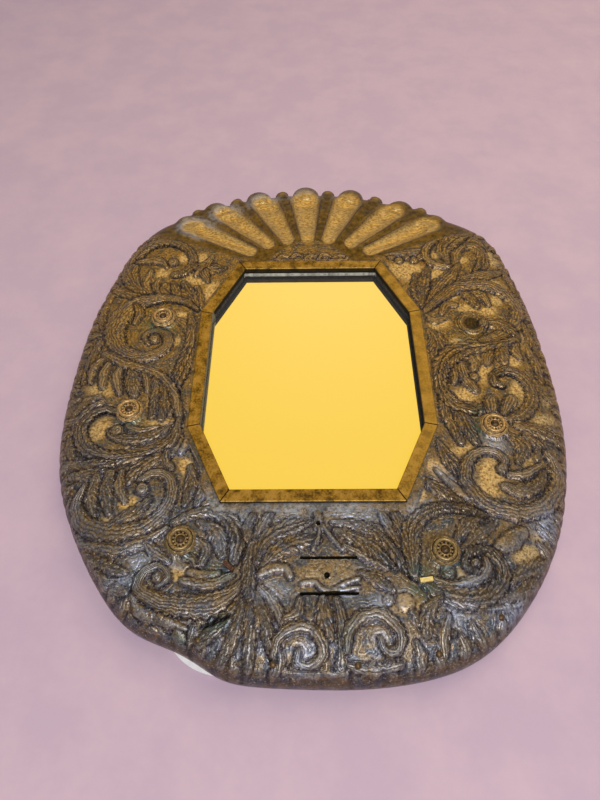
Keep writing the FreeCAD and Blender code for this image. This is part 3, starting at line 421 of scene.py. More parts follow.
def right_middle(r):
    """The scrolls and leaves beside the sight on the right."""
    b = r.blade
    b([(108, 38), (114, 26), (111, 12), (107, -2)], (4, 8.5, 6, 3), 4, 2.2)
    b([(160, 18), (156, 9), (154, 1)], (5, 5.5, 4), 2)
    b([(183, 24), (181, 14), (184, 6)], (4, 5, 3), 2, 1.9)
    b([(171, 20), (168, 9), (169, 2)], (6, 6.5, 4.5), 3)
    b([(112, -20), (112, -50), (119, -79)], (3, 6.5, 4), 4, 2.4)
    b([(118, -32), (123, -55), (131, -79)], (3, 7, 4), 4, 2.4)
    b([(122, -40), (136, -47), (149, -47)], (3, 6, 3), 3, 2.2)
    b([(124, 0), (125, -11), (122, -20)], (4, 5, 3), 2, 2.6)
    b([(131, -2), (133, -16), (139, -28)], (4, 6, 4), 2, 2.8)
    b([(135, 12), (142, 2), (141, -7)], (4, 5, 4), 2, 2.8)
    r.boss(140, -14, 4.5, 2.8)
    b([(186, 27), (162, 22), (140, 18), (122, 9), (112, -8), (110, -26), (118, -42), (134, -50)],
      (3, 6, 8, 9, 8, 6, 6, 4), 4, 2.9)
    b([(148, -49), (150, -38)], (5, 6), 2)
    b([(159, -50), (167, -38)], (4, 6), 2)
    b([(158, -58), (172, -54), (183, -42), (185, -27), (179, -13), (168, -8), (158, -12), (156, -20),
       (162, -24)], (3, 5.5, 5.5, 5.5, 5, 5, 4.5, 4, 3.5), 3, 3.1)
    b([(166, -63), (180, -68), (191, -75), (197, -83)], (4, 6, 5, 3), 4, 2.2)
    b([(172, -73), (180, -84), (176, -95)], (4, 5, 3), 3, 2.0)
    b([(158, -73), (167, -84), (161, -97)], (4, 7, 3), 4, 2.4)
    b([(192, 20), (196, 0), (197, -20)], (4, 5, 3), 3, 1.5)
    b([(100, -78), (107, -94), (117, -112)], (3, 6, 4), 3, 2.2)
    b([(146, -118), (158, -122), (172, -117), (179, -106)], (4, 6, 5, 3), 4, 2.6)
    b([(150, -108), (164, -108), (177, -101)], (3, 4, 3), 2, 2.4)
    b([(96, -104), (111, -122), (130, -137)], (2, 4, 3), 1, 2.4, colour=0.6)
    b([(147, -105), (150, -95), (142, -88), (130, -89), (121, -98), (117, -112), (124, -126), (138, -136),
       (156, -140), (174, -134), (186, -120), (189, -103), (184, -90)],
      (4, 4, 4, 5, 5, 6, 6, 6, 6, 6.5, 6.5, 6, 4), 5, 3.1)
    r.boss(147, -103, 4.5, 2.8)


def right_upper(r):
    """The scrolls and leaves at the upper right, with a row of five bosses."""
    b = r.blade
    b([(160, 166), (170, 158), (176, 146)], (4, 6, 4), 3, 1.6)
    b([(152, 148), (165, 150), (172, 140), (171, 125), (161, 112)], (4, 7, 6, 6, 3), 4, 2.2)
    b([(137, 128), (135, 145), (146, 160), (160, 166)], (3, 7.5, 9, 5), 4, 2.6)
    b([(144, 124), (147, 140), (156, 150)], (3, 5, 3), 2, 2.2)
    for x, y in ((82, 137), (89, 131.5), (97, 136), (104, 131.5), (111, 136)):
        r.boss(x, y, 4.5, 2.2)
    b([(76, 141), (94, 141), (114, 145)], (3, 5, 4), 2, 2.4)
    b([(129, 160), (119, 150), (116, 138), (120, 127), (130, 122), (138, 121)],
      (3, 4, 4.5, 4, 4, 2.5), 2, 2.8)
    b([(103, 70), (101, 90), (104, 111)], (2, 5, 4), 3, 2.2)
    b([(107, 66), (116, 86), (122, 104)], (2, 4, 2.5), 2, 2.0)
    b([(105, 68), (108, 92), (115, 117)], (2, 6.5, 4), 4, 2.6)
    b([(112, 66), (128, 84), (146, 99), (166, 108), (187, 112)], (3, 6, 8.5, 7, 3), 5, 2.4)
    b([(108, 66), (119, 84), (134, 105), (147, 123)], (3, 6, 8, 3), 5, 2.6)
    b([(140, 92), (150, 82), (156, 68)], (4, 5.5, 3.5), 3, 2.4)
    b([(152, 92), (162, 82), (167, 70)], (4, 5.5, 3), 2, 2.4)
    b([(122, 60), (128, 70), (137, 70)], (3, 4.5, 3), 2, 2.0)
    b([(107, 58), (113, 51), (125, 54)], (2, 4, 2), 2, 1.8)
    b([(106, 62), (121, 77), (138, 91), (158, 96), (176, 92), (188, 78), (192, 60), (185, 43),
       (170, 32), (153, 26)], (3, 5, 6, 7, 7, 6.5, 6, 7, 6.5, 4), 5, 3.1)
    b([(158, 48), (170, 46), (181, 38), (187, 29)], (5, 6.5, 6, 3), 3, 2.4)
    b([(194, 46), (197, 30), (199, 12)], (3, 4, 3), 3, 1.5)
    b([(188, 120), (192, 104), (195, 88)], (3, 4, 3), 3, 1.5)


def crest_root(r):
    """The small leaves in the band under the shell."""
    for x in range(-56, 57, 14):
        way = 1 if (x // 14) % 2 else -1
        r.blade([(x - 6, 134), (x, 140 + way), (x + 7, 138)], (1.5, 3.2, 1.5), 2, 1.3)
    r.blade([(-70, 131), (-35, 133), (0, 132.5), (35, 133), (70, 131)], (1.2, 1.4, 1.4, 1.4, 1.2), 1, 1.0)


RIM_LEAVES, LEAF_START, LEAF_END, LEAF_END_STEP = 96, 3.0, 13.0, 4.0
SHELL_FOOT, SHELL_HALF_WIDTH = 175, 150


def rim_leaves(r, edge):
    """Short leaves that run off the roll of the border, all the way round but for the shell."""
    points = edge[np.linspace(0, len(edge), RIM_LEAVES, endpoint=False).astype(int)]
    for k, (x, y) in enumerate(points):
        if y > SHELL_FOOT and abs(x) < SHELL_HALF_WIDTH:
            continue
        rim = np.array([x, y])
        way = np.array([x, y - SIGHT_Y]) / math.hypot(x, y - SIGHT_Y)
        lean = np.array([-way[1], way[0]]) * (3.5 if k % 2 else -1.5)
        start, end = rim - way * LEAF_START, rim - way * (LEAF_END + LEAF_END_STEP * (k % 3))
        path = np.array([start, (start + end) / 2 + lean, end + lean])
        r.blade_at(path, (3.2, 4.6, 2.0), 2, 1.3, under=True)


# Where the ground is rubbed gold, carries a painted bluish sheen for reflected light, or is green
# with verdigris: place and size in mm, amount, stretch, and turn in degrees.
PATCHES = {
    "gold": (
        (-127, 138, 5, 1, 1.6, 70), (-145, 116, 6, 1, 1.5, 60), (-162, 108, 4, .8, 1.5, 80),
        (-112, 136, 8, .9, 1.5, 20), (-112, 108, 8, 1, 1.8, -25), (-96, 92, 7, .9, 2, 65),
        (-171, 60, 5, 1, 1.5, 80), (-119, 59, 5, 1, 1.6, -20), (-163, 14, 5, .8, 1.5, 0),
        (-122, 28, 4, .8, 1.5, 80), (-172, -14, 5, 1, 1.8, 80), (-137, -23, 5, 1, 1.5, 60),
        (-182, -26, 7, .8, 2, -20), (-175, -66, 8, 1, 1.5, 65), (-127, -57, 6, .9, 1.8, 12),
        (-99, -100, 6, 1, 1.5, -60), (-140, -130, 5, 1, 1.5, 25), (-153, -147, 6, .9, 1.6, 5),
        (-97, -185, 5, 1, 1.8, -15), (-30, -206, 6, .8, 1.5, -60), (0, -188, 12, .42, 2, -5),
        (22, -184, 12, .36, 2, -8), (62, -206, 8, 1, 1.2, 0), (80, -125, 6, .9, 1.2, 60),
        (153, -173, 8, 1, 1.6, 10), (165, -160, 6, .9, 1.3, 0), (106, -184, 5, .9, 1.4, 60),
        (112, -205, 8, .6, 2.2, 0), (138, -110, 11, 1, 1.8, 75), (172, -97, 6, 1, 1.5, 10),
        (96, -102, 6, 1, 1.6, -50), (120, -86, 6, .8, 1.8, 15), (130, -33, 8, 1, 1.6, 25),
        (175, -33, 8, 1, 2.2, 75), (150, -8, 7, .9, 2, 75), (148, 8, 6, .9, 1.5, 70),
        (178, 2, 6, .9, 1.2, 60), (190, -60, 7, 1, 1.6, 20), (132, 24, 5, 1, 1.5, -20),
        (118, 47, 6, 1, 1.8, 25), (96, 116, 13, 1, 1.5, -20), (127, 139, 5, 1, 1.2, 60),
        (152, 131, 5, 1, 1.2, 0), (180, 134, 8, 1, 1.8, -70), (124, 112, 6, 1, 1.8, 70),
        (180, 96, 6, .9, 1.8, -30), (176, 76, 6, 1, 1.3, 60), (133, 82, 6, .9, 1.5, 10),
        (146, 66, 6, .9, 2, -5), (165, 62, 6, .9, 1.6, 10), (190, 24, 6, .8, 1.8, 75),
        (196, -40, 5, .6, 2, 80)),
    "sheen": (
        (-75, -134, 9, .9, 1.8, -35), (-56, -143, 7, .9, 1.6, -40), (-20, -138, 14, .7, 2.0, 8),
        (30, -139, 10, .9, 2.2, 0), (50, -145, 5, .9, 1.6, -70), (-30, -199, 8, 1, 1.4, 0),
        (-124, -176, 8, .9, 1.3, 30), (-136, -190, 6, .8, 2.0, 0), (-68, -162, 8, .7, 1.8, -60),
        (-116, -137, 6, .7, 1.8, 70), (-60, -168, 5, .8, 2, -70), (48, -205, 7, .8, 1.6, 20),
        (170, -150, 9, 1, 1.4, 60), (134, -212, 8, .9, 2.0, 15), (98, -213, 6, .9, 1.8, 20),
        (-8, -240, 5, .8, 2, 80), (43, -228, 4, .8, 1.2, 0), (100, -108, 5, .8, 2.2, -50),
        (20, -197, 5, .8, 2, 5), (76, -137, 6, .8, 1.8, 40), (108, -190, 6, .7, 2.2, 30),
        (-106, -86, 4, .9, 1.2, 0), (144, -82, 8, .6, 1.6, -10), (-100, -178, 4, .6, 2, -20)),
    "teal": (
        (-140, 47, 7, 1, 2.0, -5), (-150, 54, 5, .8, 1.5, 60), (-150, -58, 6, .8, 1.8, 15),
        (-66, -184, 6, .9, 1.6, -20), (-66, -219, 5, .9, 2.4, 20), (-90, -170, 6, .5, 1.6, 0),
        (75, -197, 6, 1, 1.5, 0), (75, -184, 6, .8, 1.5, 0), (94, -183, 8, .7, 1.3, 0),
        (134, -68, 6, .8, 1.6, 70), (136, -50, 5, .7, 1.5, 60), (143, 28, 7, .4, 1.8, 0),
        (-90, -229, 5, .8, 1.2, 0), (-124, -186, 5, .6, 1.8, 60), (20, -228, 5, .5, 2, 80)),
}


def colours(r):
    """Lays the coloured patches."""
    for layer, patches in PATCHES.items():
        for patch in patches:
            r.patch(layer, *patch)


def slits(r):
    """A torn slit in the metal at the foot, and the seam beside it."""
    # The slit is painted near black, as shade in its opening.
    r.line([(-77, -221), (-67, -218), (-58, -214)], 2.2, 1.0, 1.0)
    r.line([(-85, -222), (-85, -232), (-84, -242)], 1.0, 0.5, 0.9)


# The sheet

FLUTE_ANGLES = (-57.0, -41.5, -22.5, -2.0, 19.5, 41.0, 57.5)
FAN_Y, FAN_HALF_ANGLE = 103.5, 58
FLUTE_START, FLUTE_START_GROWTH = 58.0, 15.0
FLUTE_REACH, FLUTE_REACH_GROWTH = 123.0, 26.0
FLUTE_ROOT, FLUTE_TIP, FLUTE_TIP_TAPER = 7.6, 16.8, 3.0
FLUTE_ROOT_DEPTH, FLUTE_TIP_DEPTH, FLUTE_LIP = 2.6, 6.0, 0.7
EDGE_RINGS = (0, .35, .8, 1.4, 2.2, 3.3, 4.5, 5.9)
INNER_RINGS = 80
SKIRT_RINGS = (2.4, 4.0, 6.0, 7.8)
LIP = 1.0
SIGHT_MARGIN = 1.2
SLOTS = ((10.5, -178.5), (10.5, -204.0))
SLOT_LENGTH, SLOT_WIDTH = 41.0, 2.2
HOLES = ((3.5, -152.5, 1.8), (9.0, -191.0, 2.2))
SNAP_REACH, SNAP_STEP = 0.72, 0.01
ROLLS, ROLL_DENT = 118, 1.7
CORE_GAP = 1.3
CLEAR = 0.35
BOWL = (148.0, 42.5)
BOWL_INNER, BOWL_OUTER, BOWL_VEIN_GAP = 9, 15.5, 2.1
SEATS = ((-137.0, 51.0), (-152.0, -52.5), (-96.5, -166.0), (148.0, -69.0), (93.5, -174.5), BOWL)

# The plain band that the strips lie against is wider at the foot of the sight.
BAND, BAND_FOOT_GROWTH, BAND_LIFT = 13.4, 4.8, 0.5

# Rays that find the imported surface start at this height, or this far from the sight's middle.
ABOVE, OUTSIDE = 60, 400
OUTLINE_RAYS = 4000

# Between the two values of a pair one shape gives way to the next. The sides are in degrees from
# straight up. Where the core lies more than CORE_DEPTH under the sheet, the sheet's own height counts.
OUTLINE_SIDES, SHELL_SIDES, MASK_SIDES = (70, 64), (67.5, 65), (69, 65)
SHELL_ROOT, MASK_ROOT = (45, 55), (52, 56)
SEAT_EDGE, ROLL_EDGE = (17, 15), (12, 6)
FLUTE_TIPS, TIP_SHEEN, TIP_SPREAD = (126, 142), (118, 134), 20
BAND_FOOT = (-100, -124)
CORE_DEPTH = 4

# Dips along the rings are bridged where they are narrower than about twice this many points. The
# notches between the shell's lobes are filled by this share of their depth.
NOTCH_REACH, FLUTE_BRIDGE = 6, 15
NOTCH_FILL = 0.82


def bvh_of(obj):
    """The node's surface in millimetres, for finding heights on it."""
    points = [v.co * 1000 for v in obj.data.vertices]
    return BVHTree.FromPolygons(points, [tuple(p.vertices) for p in obj.data.polygons])


def height_at(tree, x, y):
    """The surface's height at a place, or not a number where it isn't above the skirt."""
    hit = tree.ray_cast(Vector((x, y, ABOVE)), Vector((0, 0, -1)))[0]
    return hit.z if hit is not None and hit.z > SKIRT_Z else math.nan


def from_fan(x, y):
    """Distance from the fan's middle, and the angle from straight up in degrees, either way."""
    return np.hypot(x, y - FAN_Y), np.abs(np.degrees(np.arctan2(x, y - FAN_Y)))


def bridged(field, reach):
    """The field with its dips filled along the rings, where they are narrower than the reach allows."""
    high = np.max([np.roll(field, k, -1) for k in range(-reach, reach + 1)], axis=0)
    return np.min([np.roll(high, k, -1) for k in range(-reach, reach + 1)], axis=0)


def outline_from(tree):
    """The metal's outline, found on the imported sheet's skirt.

    The notches between the shell's lobes are drawn shallower, as the thin metal bridges them."""
    middle = Vector((0, SIGHT_Y, (SKIRT_Z + BACK_Z) / 2))
    found = []
    for angle in np.linspace(0, 2 * math.pi, OUTLINE_RAYS, endpoint=False):
        way = Vector((math.cos(angle), math.sin(angle), 0))
        hit = tree.ray_cast(middle + way * OUTSIDE, -way)[0]
        found.append((hit.x, hit.y))
    found = even(np.array(found + found[:1]), AROUND + 1)[:-1]
    reach, angle = from_fan(found[:, 0], found[:, 1])
    shell = smoothstep(*OUTLINE_SIDES, angle)
    out = (found - (0, FAN_Y)) / reach[:, None]
    return found + out * ((bridged(reach, NOTCH_REACH) - reach) * NOTCH_FILL * shell)[:, None]


def sight_edge(points, grow):
    """Where the lines from the sight's middle to the points cross its outline, grown."""
    way = np.abs(points - (0, SIGHT_Y))
    length = np.linalg.norm(way, axis=1)
    way /= length[:, None]
    reach = HALF_TOP * math.sin(SLANT) + HALF_HEIGHT * math.cos(SLANT)
    with np.errstate(divide="ignore"):
        radius = np.minimum((HALF_WIDTH + grow) / way[:, 0], (HALF_HEIGHT + grow) / way[:, 1])
    slanted = (reach + grow) / (way[:, 0] * math.sin(SLANT) + way[:, 1] * math.cos(SLANT))
    radius = np.minimum(radius, slanted)
    return (points - (0, SIGHT_Y)) * (radius / length)[:, None] + (0, SIGHT_Y)


def heights(tree, x, y):
    """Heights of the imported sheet, with its small holes filled from the points around."""
    z = np.array([height_at(tree, *place) for place in zip(x.flat, y.flat)]).reshape(x.shape)
    z[0] = SKIRT_Z
    while np.isnan(z).any():
        outer, inner = np.vstack([z[:1], z[:-1]]), np.vstack([z[1:], z[-1:]])
        around = np.stack([np.roll(z, 1, 1), np.roll(z, -1, 1), outer, inner])
        known = ~np.isnan(around)
        mean = np.where(known, around, 0).sum(0) / np.maximum(known.sum(0), 1)
        fill = np.isnan(z) & known.any(0)
        z[fill] = mean[fill]
    return z


def base_heights(cover, core, x, y, inset):
    """Heights of the sheet before the ornament, and of the wood under it.

    They come from the wooden core, but for the shell, the seats and the outer roll."""
    own = heights(cover, x, y)
    under = heights(core, x, y) + CORE_GAP
    under = np.where(own - under > CORE_DEPTH, own, under)
    reach, angle = from_fan(x, y)
    keep = smoothstep(*SHELL_SIDES, angle) * smoothstep(*SHELL_ROOT, reach)
    for sx, sy in SEATS:
        keep = np.maximum(keep, smoothstep(*SEAT_EDGE, np.hypot(x - sx, y - sy)))
    keep = np.maximum(keep, smoothstep(*ROLL_EDGE, inset))
    return own * keep + under * (1 - keep), np.minimum(under - CORE_GAP, own - CLEAR)


def blurred(field, times):
    """The field on the rings, softened both ways."""
    for _ in range(times):
        field = field * 0.5 + (np.roll(field, 1, 1) + np.roll(field, -1, 1)) * 0.25
        outer, inner = np.vstack([field[:1], field[:-1]]), np.vstack([field[1:], field[-1:]])
        field = field * 0.5 + (outer + inner) * 0.25
    return field


def hole_gap(x, y):
    """Distance to the nearest slot or hole, less than nothing inside one."""
    gap = np.full(x.shape, 1e9)
    for cx, cy in SLOTS:
        dx, dy = np.abs(x - cx) - SLOT_LENGTH / 2, np.abs(y - cy) - SLOT_WIDTH / 2
        outside = np.hypot(np.maximum(dx, 0), np.maximum(dy, 0))
        gap = np.minimum(gap, outside + np.minimum(np.maximum(dx, dy), 0))
    for cx, cy, radius in HOLES:
        gap = np.minimum(gap, np.hypot(x - cx, y - cy) - radius)
    return gap


def snapped(x, y):
    """The points with those near a slot or hole moved on to its edge."""
    near = np.abs(hole_gap(x, y)) < SNAP_REACH
    for _ in range(3):
        gap = hole_gap(x, y)
        gx = (hole_gap(x + SNAP_STEP, y) - gap) / SNAP_STEP
        gy = (hole_gap(x, y + SNAP_STEP) - gap) / SNAP_STEP
        x, y = np.where(near, x - gap * gx, x), np.where(near, y - gap * gy, y)
    return x, y


def flute_depth(x, y):
    """How far inside a flute of the shell each point lies, 0 at its edge and 1 in the middle, and
    the depth of that flute in mm."""
    inside, depth = np.full(x.shape, -1.0), np.zeros(x.shape)
    for angle in FLUTE_ANGLES:
        outwards = (angle / FAN_HALF_ANGLE) ** 2
        way = np.array([math.sin(math.radians(angle)), math.cos(math.radians(angle))])
        start, end = FLUTE_START + FLUTE_START_GROWTH * outwards, FLUTE_REACH + FLUTE_REACH_GROWTH * outwards
        root, tip = FLUTE_ROOT, FLUTE_TIP - FLUTE_TIP_TAPER * abs(angle) / FAN_HALF_ANGLE
        along = np.clip((x * way[0] + (y - FAN_Y) * way[1] - start) / (end - start), 0, 1)
        at = start + (end - start) * along
        gap = np.hypot(x - way[0] * at, y - FAN_Y - way[1] * at)
        here = 1 - gap / (root + (tip - root) * along)
        own_depth = FLUTE_ROOT_DEPTH + (FLUTE_TIP_DEPTH - FLUTE_ROOT_DEPTH) * along
        depth = np.where(here > inside, own_depth, depth)
        inside = np.maximum(inside, here)
    return inside, depth


def shell_mask(x, y):
    """1 on the shell and 0 off it, with a soft edge."""
    reach, angle = from_fan(x, y)
    return smoothstep(*MASK_SIDES, angle) * smoothstep(*MASK_ROOT, reach + 0.12 * np.abs(x))


def shell_heights(x, y, z, under, inset):
    """The shell's heights, with its flutes as the photograph shows them, a little wider and longer,
    as far as the wood under them leaves room."""
    inside, depth = flute_depth(x, y)
    shell = shell_mask(x, y)
    closed = blurred(bridged(z, FLUTE_BRIDGE), 2)
    outer = smoothstep(*FLUTE_TIPS, from_fan(x, y)[0] - TIP_SPREAD * (np.abs(x) / SHELL_HALF_WIDTH) ** 2)
    off_rim = smoothstep(0.5, 4.0, inset)
    amount = shell * off_rim * (1 - 0.35 * outer)
    bowl = np.clip(inside, 0, 1)
    sunk = depth * (1 - (1 - bowl) ** 2) * shell
    lip = FLUTE_LIP * np.exp(-((inside + 0.10) / 0.09) ** 2) * shell
    wanted = np.maximum(z + (closed - z) * amount - sunk + lip, under + CLEAR)
    wanted = wanted + (blurred(wanted, 2) - wanted) * shell * off_rim
    return np.where(shell > 0.5, np.maximum(wanted, under + CLEAR), wanted)


def fan_masks(x, y, fields):
    """The shell's own masks: its gold flutes, a painted sheen on their rims, painted shade round each
    flute, and the dark ribs between them.
    """
    flute = flute_depth(x, y)[0]
    shell = shell_mask(x, y)
    fields["flute"] = smoothstep(-0.04, 0.03, flute)
    fields["bowl"] = np.clip(flute, 0, 1)
    fields["rib"] = shell * (1 - fields["flute"])
    # A painted bluish sheen at the tips of the flutes, more to the left, standing for reflected light.
    tip = smoothstep(*TIP_SHEEN, from_fan(x, y)[0])
    haze = smoothstep(-0.55, 0.02, flute) * smoothstep(0.42, 0.12, flute) * tip * smoothstep(90, -70, x)
    fields["sheen"] = np.maximum(fields["sheen"] * (1 - shell), 0.55 * haze * shell)
    fields["leaf"] = fields["leaf"] * (1 - shell)
    # A line of painted shade round each flute, fainter at the tips.
    side = np.exp(-((flute + 0.06) / 0.06) ** 2)
    fields["groove"] = fields["groove"] * (1 - shell) + 0.95 * shell * side * (1 - 0.6 * tip)
    fields["vein"] = fields["vein"] * (1 - shell)
    return shell


def sheet_places(edge, inner, span):
    """The sheet's points, on rings from the rim to the sight, and how far in from the rim each lies."""
    steps = [np.full(AROUND, s) for s in EDGE_RINGS]
    steps += [EDGE_RINGS[-1] + (span - EDGE_RINGS[-1]) * k / INNER_RINGS for k in range(1, INNER_RINGS + 1)]
    inset = np.array(steps)
    share = inset / span
    x = edge[:, 0] + (inner - edge)[:, 0] * share
    y = edge[:, 1] + (inner - edge)[:, 1] * share
    return *snapped(x, y), inset


def ornament(tree, edge, x, y):
    """All the beaten ornament, on the sheet's points."""
    def height_of(px, py):
        """The sheet's height at a place, or its face's where a hole is."""
        z = height_at(tree, px, py)
        return FACE_Z if math.isnan(z) else z

    r = Relief(np.stack([x.ravel(), y.ravel()], axis=1), height_of)
    for region in (left_upper, left_middle, left_lower, foot, right_lower, right_middle, right_upper,
                   crest_root, colours, slits):
        region(r)
    rim_leaves(r, edge)
    return r


def roll_dents():
    """The short dents across the border's roll, from 0 to 1, at each point round the rim."""
    around = np.arange(AROUND) / AROUND * ROLLS
    dent = np.abs(np.sin(np.pi * (around + 0.22 * np.sin(around * 1.7))))
    return (1 - dent) ** 2 * (0.65 + 0.35 * np.sin(around * 0.83))


def sheet_layers(r, x, y, z, under, inset):
    """The sheet's heights, the relief that stands on them, and the values that its material reads."""
    fields = {name: getattr(r, name).reshape(x.shape) for name in LAYERS}
    h, near = r.h.reshape(x.shape), r.near.reshape(x.shape)
    ground = (1 - np.clip(fields["leaf"] * 2, 0, 1)) * (1 - np.clip(fields["gold"] * 1.6, 0, 1))
    echo = ground * smoothstep(16, 9, near)
    fields["vein"] = np.where(fields["leaf"] < 0.4, near / ECHO_GAP, fields["vein"])
    h = h + echo * (0.4 - 0.35 * (1 - np.abs(np.sin(np.pi * near / ECHO_GAP))))
    shell = fan_masks(x, y, fields)
    z = shell_heights(x, y, z, under, inset)

    depth = octagon_depth(x, y)
    band = BAND + BAND_FOOT_GROWTH * smoothstep(*BAND_FOOT, y)
    off_band = smoothstep(band - 0.6, band + 0.8, depth)
    off_rim = smoothstep(1.0, 7.0, inset)
    free = off_rim * off_band
    h = h * free * (1 - shell)
    bowl = np.hypot(x - BOWL[0], y - BOWL[1])
    bowl_wall = (bowl > BOWL_INNER) & (bowl < BOWL_OUTER)
    # The middle of the empty bowl is painted dark, as shade in its hollow.
    fields["dark"] = np.maximum(fields["dark"], 0.8 * smoothstep(9.5, 6.0, bowl))
    fields["vein"] = np.where(bowl_wall, bowl / BOWL_VEIN_GAP, fields["vein"])
    fields["veined"] = np.maximum(fields["leaf"], 0.5 * echo) * free * (1 - shell)
    fields["veined"] = np.where(bowl_wall, 1.0, fields["veined"])
    on_roll = smoothstep(16.0, 4.0, inset)
    h = h - ROLL_DENT * roll_dents() * on_roll * smoothstep(-1.0, 1.0, inset) * (1 - shell)
    h = h + BAND_LIFT * (1 - smoothstep(band - 1.6, band - 0.4, depth))
    for name in ("leaf", "groove", "gold"):
        fields[name] = fields[name] * off_band
    # Painted shade in the grooves, and a line of it where the plain band ends.
    fields["groove"] = fields["groove"] * off_rim + np.exp(-((depth - band) / 0.6) ** 2) * 0.6

    relief = h - blurred(h, 8)
    base = z - blurred(z, 24)
    # What stands above its surroundings, which the material paints with highlight and rubbed wear.
    fields["high"] = relief + 0.35 * base
    # What lies below its surroundings, and the rim's turned edge, which the material paints with shade.
    fields["low"] = np.clip(-relief, 0, 2) + 0.8 * smoothstep(5.0, 1.5, inset)
    return z, h, fields


def normals(x, y, z):
    """Unit normals of the surface on the rings, each as its three parts."""
    p = np.stack([x, y, z], axis=-1)
    around = np.roll(p, -1, 1) - np.roll(p, 1, 1)
    inwards = np.gradient(p, axis=0)
    n = np.cross(around, inwards)
    n /= np.maximum(np.linalg.norm(n, axis=-1, keepdims=True), 1e-9)
    return np.moveaxis(n, -1, 0)


def ring_faces(rings, count, inwards):
    """The faces between rings of points that run inwards or outwards, each turned to the front."""
    first = np.arange(rings - 1)[:, None] * count
    here, there = np.arange(count), np.roll(np.arange(count), -1)
    corners = [first + there, first + count + there, first + count + here]
    return np.stack([first + here] + (corners if inwards else corners[::-1]), axis=-1).reshape(-1, 4)


def new_piece(name, points, faces, layers):
    """A smooth piece from points in mm and its faces, with the values that its material reads."""
    mesh = bpy.data.meshes.new(name)
    mesh.from_pydata((points.reshape(-1, 3) / 1000).tolist(), [], faces)
    for key, field in layers.items():
        layer = mesh.attributes.new(key, "FLOAT", "POINT")
        layer.data.foreach_set("value", field.ravel().astype(np.float32))
    mesh.shade_smooth()
    made = bpy.data.objects.new(name, mesh)
    bpy.context.scene.collection.objects.link(made)
    return made


def make_sheet(cover, core):
    """The embossed sheet: rings from the turned-in lip, up the skirt and over the roll to the sight."""
    tree = bvh_of(cover)
    edge = outline_from(tree)
    inner = sight_edge(edge, SIGHT_MARGIN)
    span = np.linalg.norm(inner - edge, axis=1)
    x, y, inset = sheet_places(edge, inner, span)
    z, under = base_heights(tree, bvh_of(core), x, y, inset)
    z, h, fields = sheet_layers(ornament(tree, edge, x, y), x, y, z, under, inset)

    bent = normals(x, y, blurred(z, 2))
    px, py, pz = x + bent[0] * h, y + bent[1] * h, z + bent[2] * h
    low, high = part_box("embossed_cover")
    px = np.clip(px, low.x * 1000, high.x * 1000)
    py = np.clip(py, low.y * 1000, high.y * 1000)
    turned = edge + (inner - edge) / span[:, None] * LIP
    skirt = [np.column_stack([turned, np.full(AROUND, BACK_Z)])]
    skirt += [np.column_stack([edge, np.full(AROUND, level)]) for level in SKIRT_RINGS]
    points = np.concatenate([skirt, np.stack([px, py, pz], axis=-1)])
    faces = ring_faces(len(points), AROUND, inwards=True)
    middle = points.reshape(-1, 3)[faces].mean(1)
    cut = (hole_gap(middle[:, 0], middle[:, 1]) < 0) & (middle[:, 2] > SKIRT_Z)
    layers = {name: np.vstack([field[:1]] * len(skirt) + [field]) for name, field in fields.items()}
    return new_piece("embossed_sheet", points, faces[~cut].tolist(), layers)


# Rosettes

PETALS, BEADS = 9, 12
BEAD_RING, RING, RING_HALF, PETAL_EDGE = 5.1, 7.4, 1.5, 11.5
DISH, BUTTON, DISH_STEP, DOT_DEPTH = 2.4, 0.5, 0.6, 1.3
RING_HEIGHT, FLANGE, PETAL_FOOT, PETAL_RISE = 1.9, 1.0, 0.8, 1.1
ROSETTE_RINGS, ROSETTE_AROUND = 50, 112
EDGE_TURN, EDGE_HEIGHT, UNDERSIDE = 0.6, 0.5, 0.1


def rosette_height(radius, angle):
    """The beaten shape from the middle outwards: dish, ring of small dots, round ring, nine petals."""
    petal = np.abs(np.cos(PETALS / 2 * angle)) ** 0.6
    dot = smoothstep(-0.2, 0.5, np.cos(BEADS * angle)) * np.exp(-((radius - BEAD_RING) / 0.6) ** 2)
    h = DISH + BUTTON * smoothstep(2.2, 1.6, radius) + DISH_STEP * smoothstep(2.9, 3.5, radius)
    h = h - DOT_DEPTH * dot + DISH_STEP * np.exp(-((radius - 3.8) / 0.5) ** 2)
    ring = RING_HEIGHT * np.sqrt(np.clip(1 - ((radius - RING) / RING_HALF) ** 2, 0, 1))
    rise = PETAL_FOOT + PETAL_RISE * petal
    flange = FLANGE + rise * smoothstep(11.6, 9.8, radius) * smoothstep(8.4, 9.6, radius)
    return np.where(radius < RING + RING_HALF * 0.9, np.maximum(h, 0) + ring * 1.05, flange)


def make_rosette(node):
    """A rosette pressed from thin brass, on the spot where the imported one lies."""
    low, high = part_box(node.name)
    cx, cy, foot = (low.x + high.x) / 2 * 1000, (low.y + high.y) / 2 * 1000, low.z * 1000
    outwards = np.linspace(0.5, PETAL_EDGE, ROSETTE_RINGS)
    radii = np.concatenate([outwards, [PETAL_EDGE, PETAL_EDGE - EDGE_TURN]])
    angles = np.linspace(0, 2 * np.pi, ROSETTE_AROUND, endpoint=False)
    radius, angle = np.meshgrid(radii, angles, indexing="ij")
    height = rosette_height(radius, angle)
    height[-2], height[-1] = EDGE_HEIGHT, UNDERSIDE
    scallop = 1 - 0.085 * (1 - np.abs(np.cos(PETALS / 2 * angle)) ** 0.5) * smoothstep(9.0, 11.0, radius)
    height = np.minimum(height, (high.z - low.z) * 1000)
    x, y = cx + radius * scallop * np.cos(angle), cy + radius * scallop * np.sin(angle)
    points = np.stack([x, y, foot + height], axis=-1)
    faces = ring_faces(len(radii), ROSETTE_AROUND, inwards=False).tolist()
    top = list(range(ROSETTE_AROUND))
    under = list(range((len(radii) - 1) * ROSETTE_AROUND, len(radii) * ROSETTE_AROUND))
    # How far each point lies below its surroundings, which the material paints with shade.
    recess = blurred(height, 6) - height
    return new_piece("dressed_" + node.name, points, faces + [top, under[::-1]],
                     {"low": np.clip(recess * 2.2, 0, 1)})


# Materials

